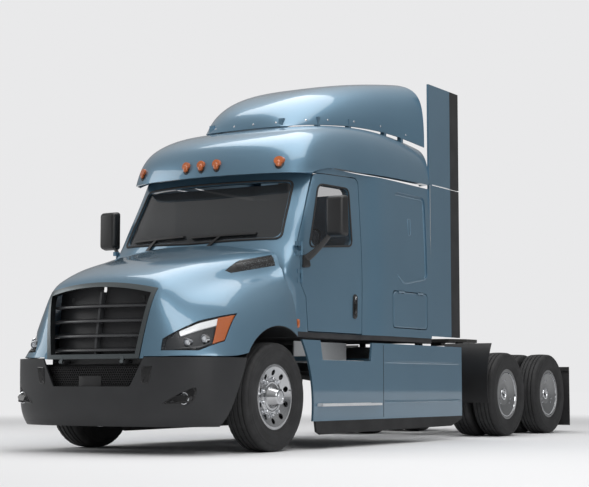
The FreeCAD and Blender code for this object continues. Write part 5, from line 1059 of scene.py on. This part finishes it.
beads = {
    "pressTube": (0.008, -0.002), "slotTube": (0.005, -0.001), "lidTube": (0.005, -0.002),
    "press": ((2.34, 1.8), (2.34, 2.66), (3.03, 2.66), (3.03, 1.78), (2.5, 1.7)), "pressRound": 0.06,
    "slot": (0.058, 0.18, 0.02, (2.68, 2.33)), "lid": (0.76, 0.37, 0.06, (2.645, 1.42)),
    "creases": (0.855, 0.44), "creaseFrom": 2.05, "creaseLong": 1.8, "creaseSwell": 0.009,
    "seamY": 2.02, "seamLevels": (0.29, 0.5, 0.7, 0.9, 1.03), "seamRadius": 0.003,
}
mirror = {
    "size": (0.228, 0.118, 0.418), "taper": (0.84, 0.9), "round": 0.036, "spot": (1.399, -2.265, 2.253),
    "foot": (1.112, -2.395, 1.825), "end": (1.33, -2.255, 2.085), "sag": 0.022, "flat": 0.3,
    "footSize": (0.052, 0.05), "thinner": (0.018, 0.016), "padRound": 0.03,
    "pad": ((0.515, 1.745), (0.655, 1.76), (0.625, 1.87), (0.545, 1.88)),
    "padLift": ((1, -0.002), (1, 0.012), (0.9, 0.022), (0.6, 0.026)),
}


def mirrorHead(name):
    head = roundedBox(name, mirror["size"], mirror["round"], segments=5, profile=0.5, taper=mirror["taper"])
    head.shade_smooth()
    head.set_sharp_from_angle(angle=radians(50))
    return head


def mirrorArm(maker, sign):
    x, y, z = mirror["foot"]
    foot = Vector((sign * x, y, z))
    x, y, z = mirror["end"]
    end = Vector((sign * x, y, z))
    rings = []
    for step in range(15):
        share = step / 14
        middle = foot.lerp(end, share) + Vector((0, 0, -mirror["sag"] * sin(pi * share)))
        wide, high = [size - thinner * share for size, thinner in zip(mirror["footSize"], mirror["thinner"])]
        rings.append([middle + Vector((mirror["flat"] * sign * wide * sin(angle), wide * cos(angle),
                                       high * sin(angle)))
                      for angle in [turn * pi / 10 for turn in range(20)]])
    maker.solid(rings)


for side, sign in sides.items():
    lay = Skin("sleeper_shell").flank(side)
    seal("press_bead_" + side, "chassis", "paint", softCorners(beads["press"], beads["pressRound"]), lay,
         *beads["pressTube"])
    seal("press_slot_" + side, "chassis", "paint", rounded(*beads["slot"]), lay, *beads["slotTube"])
    lid = "baggage_door_" + side
    seal("lid_bead_" + side, lid, "paint", rounded(*beads["lid"]), Skin(lid).flank(side), *beads["lidTube"])
    lay = Skin("chassis_fairings").flank(side)
    for number, height in enumerate(beads["creases"]):
        rings = []
        for step in range(41):
            swell = beads["creaseSwell"] * sin(pi * step / 40) ** 0.5
            spot, outward = lay(beads["creaseFrom"] + beads["creaseLong"] * step / 40, height)
            rings.append([spot + outward * out + Vector((0, 0, up)) for out, up in
                          ((0, -0.01), (swell, 0), (swell * 0.4, 0.014), (0, 0.02), (-0.002, 0))])
        solidPiece(f"skirt_crease_{number}_{side}", "chassis", "paint", rings)
    tube("skirt_seam_" + side, "chassis", "rubber", [lay(beads["seamY"], z)[0] for z in beads["seamLevels"]],
         beads["seamRadius"])
    body = "door_" + side
    x, y, z = mirror["spot"]
    piece = placed("mirror_head_" + side, mirrorHead("mirror_head_" + side), body, "black", (sign * x, y, z))
    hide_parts("mirror_" + side)
    maker = Maker()
    mirrorArm(maker, sign)
    plate(maker, softCorners(mirror["pad"], mirror["padRound"]), Skin(body).flank(side), mirror["padLift"])
    maker.piece("mirror_arm_" + side, body, "black")
print("beads and mirrors made")


# Seats and bunk: cloth swollen by pressure, with sewn channels

cushions = {
    "forms": {"seat": (0.48, 0.5, 0.115), "back": (0.46, 0.11, 0.66),    # width, depth, height
        "rest": (0.27, 0.095, 0.19), "bunk": (2.1, 0.69, 0.115)},
    "rounds": {"seat": 0.04, "back": 0.04, "rest": 0.035, "bunk": 0.04},
    "voxels": {"seat": 0.01, "back": 0.01, "rest": 0.008, "bunk": 0.018},
    "swell": {"seat": 0.016, "back": 0.014, "rest": 0.01, "bunk": 0.016},
    "channels": {"seat": ((0, -0.145), (0, 0.145), (1, -0.06), (1, 0.08)),    # axis and place
        "bunk": ((0, -0.7), (0, -0.35), (0, 0), (0, 0.35), (0, 0.7))},
    "channelDepth": 0.01, "channelBreadth": 0.009, "upward": 0.2, "pressure": 4, "frames": 20,
}


def baked(obj):
    graph = bpy.context.evaluated_depsgraph_get()
    graph.update()
    return bpy.data.meshes.new_from_object(obj.evaluated_get(graph))


def puffed(mesh, voxel, most):
    # voxel remesh, then cloth under pressure, with each point's travel held to a limit
    scene = bpy.context.scene
    obj = linked("pad_work", mesh)
    remesh = obj.modifiers.new("Remesh", "REMESH")
    remesh.mode = "VOXEL"
    remesh.voxel_size = voxel
    obj.data = baked(obj)
    obj.modifiers.clear()
    start = [point.co.copy() for point in obj.data.vertices]
    cloth = obj.modifiers.new("Cloth", "CLOTH")
    cloth.settings.use_pressure = True
    cloth.settings.uniform_pressure_force = cushions["pressure"]
    cloth.settings.effector_weights.gravity = 0
    cloth.point_cache.frame_end = cushions["frames"]
    for step in range(1, cushions["frames"] + 1):
        scene.frame_set(step)
    swollen = baked(obj)
    obj.modifiers.clear()
    for point, before in zip(swollen.vertices, start):
        move = point.co - before
        if move.length > most:
            point.co = before + move.normalized() * most
    obj.data = swollen
    scene.frame_set(1)
    smooth = obj.modifiers.new("Subdivision", "SUBSURF")
    smooth.levels = 1
    result = baked(obj)
    bpy.data.objects.remove(obj)
    return result


def channels(mesh, lines):
    # points near a line sink along their normals, on the upper face
    depth, breadth = cushions["channelDepth"], cushions["channelBreadth"]
    moved = []
    for point in mesh.vertices:
        sink = 0
        for axis, place in lines:
            sink = max(sink, exp(-((point.co[axis] - place) / breadth) ** 2))
        normal = point.normal.copy()
        moved.append(point.co - normal * depth * sink if normal.z > cushions["upward"] else point.co.copy())
    for point, spot in zip(mesh.vertices, moved):
        point.co = spot


def makePad(name):
    form = roundedBox("pad_form", cushions["forms"][name], cushions["rounds"][name], segments=4, profile=0.6)
    mesh = puffed(form, cushions["voxels"][name], cushions["swell"][name])
    channels(mesh, cushions["channels"].get(name, ()))
    mesh.shade_smooth()
    return mesh


def pad(name, mesh, spot, tip):
    obj = placed(name, mesh.copy(), "chassis", "cloth", spot)
    obj.rotation_euler = (tip, 0, 0)
    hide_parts("seats_and_bunk")


seat = {
    "x": 0.486, "lean": radians(7.6), "tip": radians(2), "cushion": (-1.79, 1.51),
    "back": (-1.512, 1.905), "rest": (-1.452, 2.365),
    "bellows": (0.4, 0.36, 0.05), "bellowsY": -1.8, "bellowsLow": 1.132, "bellowsHigh": 0.3,
    "folds": 12, "fold": 0.05, "narrow": 0.1, "shell": (0.46, 0.7, 0.08),
    "shellRings": ((0.9, 0.045), (0.98, 0.05), (1, 0.06), (0.96, 0.072), (0.6, 0.078)),
}
bunk = {
    "mattress": (0, -0.255, 1.61), "base": (2.13, 0.715, 0.03, (0, -0.255)),
    "levels": (1.132, 1.2, 1.21, 1.53, 1.545),
}
pads = {name: makePad(name) for name in cushions["forms"]}
for side, sign in sides.items():
    x = sign * seat["x"]
    pad("seat_cushion_" + side, pads["seat"], (x, *seat["cushion"]), seat["tip"])
    pad("seat_back_" + side, pads["back"], (x, *seat["back"]), -seat["lean"])
    pad("head_rest_" + side, pads["rest"], (x, *seat["rest"]), -seat["lean"])
    rings = []
    for step in range(seat["folds"] + 1):
        share = step / seat["folds"]
        scale = (1 + seat["fold"] * cos(step * pi)) * (1 - seat["narrow"] * share)
        height = seat["bellowsLow"] + seat["bellowsHigh"] * share
        rings.append([(x + u * scale, seat["bellowsY"] + v * scale, height) for u, v in rounded(*seat["bellows"])])
    solidPiece("seat_bellows_" + side, "chassis", "rubber", rings)
    turn = Matrix.Rotation(-seat["lean"], 3, "X")
    centre = Vector((x, *seat["back"]))
    rings = [[centre + turn @ Vector((u * scale, back, v * scale)) for u, v in rounded(*seat["shell"])]
             for scale, back in seat["shellRings"]]
    solidPiece("seat_shell_" + side, "chassis", "black", rings)
pad("bunk_mattress", pads["bunk"], bunk["mattress"], 0)
rings = [[(u, v, z) for u, v in rounded(*bunk["base"])] for z in bunk["levels"]]
solidPiece("bunk_base", "chassis", "dash", rings)
print("seats and bunk made")


# Studio

def worldLight():
    # rays from the camera see a plain light grey; all others meet a darker gradient
    world = bpy.data.worlds.new("studio")
    bpy.context.scene.world = world
    world.use_nodes = True
    sky = Nodes(world.node_tree)
    seen = sky.node("Math", {"operation": "MAXIMUM"}, {0: sky.node("LightPath", out="Is Camera Ray"),
                                                       1: sky.node("LightPath", out="Is Transmission Ray")})
    height = sky.node("SeparateXYZ", values={0: sky.node("TexCoord", out="Generated")}, out="Z")
    stops = ((0.0, (0.20, 0.21, 0.22, 1)), (0.75, (0.95, 0.95, 0.95, 1)))
    ramp = sky.node("ValToRGB", {"stops": stops}, {0: height})
    lit = sky.node("Background", values={"Color": ramp, "Strength": 0.62})
    shown = sky.node("Background", values={"Color": linear(233, 233, 234)})
    both = sky.node("MixShader", values={0: seen, 1: lit, 2: shown})
    sky.tree.links.new(both.socket, sky.tree.nodes["World Output"].inputs["Surface"])


def softbox(name, spot, target, width, height, power):
    data = bpy.data.lights.new(name, "AREA")
    data.shape = "RECTANGLE"
    data.size = width
    data.size_y = height
    data.energy = power
    obj = linked(name, data, spot)
    obj.rotation_euler = (Vector(target) - Vector(spot)).to_track_quat("-Z", "Y").to_euler()


def studioFloor():
    ground = Finish("studio floor", (232, 232, 233), 0.9)
    spot = ground.node("VectorMath", {"operation": "LENGTH"}, {0: ground.where()}, out="Value")
    far = spot.between(8, 17)
    glow = ground.node("Emission", values={"Color": linear(234, 234, 235), "Strength": 1.0})
    ground.set("Specular IOR Level", 0.1)
    mixed = ground.node("MixShader", values={0: far, 1: Value(ground, ground.shader.outputs[0]), 2: glow})
    ground.tree.links.new(mixed.socket, ground.tree.nodes["Material Output"].inputs["Surface"])
    mesh = bpy.data.meshes.new("studio_floor")
    reach = 120
    corners = [(-reach, -reach, 0), (reach, -reach, 0), (reach, reach, 0), (-reach, reach, 0)]
    mesh.from_pydata(corners, [], [(0, 1, 2, 3)])
    floor = linked("studio_floor", mesh)
    mesh.materials.append(ground.material)


def addCamera():
    view = {"spot": (8.664, -14.810, 0.613), "yaw": 31.69, "pitch": 5.4, "lens": 91.82}
    data = bpy.data.cameras.new("camera")
    data.lens = view["lens"]
    data.sensor_width = 36
    camera = linked("camera", data, view["spot"])
    camera.rotation_euler = (radians(90 + view["pitch"]), 0, radians(view["yaw"]))
    bpy.context.scene.camera = camera


worldLight()
studioFloor()
addCamera()
softbox("overhead", (1.0, -1.0, 9.5), (0, -0.5, 1), 6, 12, 620)
softbox("key", (9.0, -9.0, 6.0), (0.5, -1.0, 1.8), 5, 5, 330)
softbox("fill", (-9.0, -7.0, 5.0), (-0.5, -1.5, 1.8), 5, 5, 210)
bpy.context.scene.view_settings.view_transform = "Standard"
print("studio set")
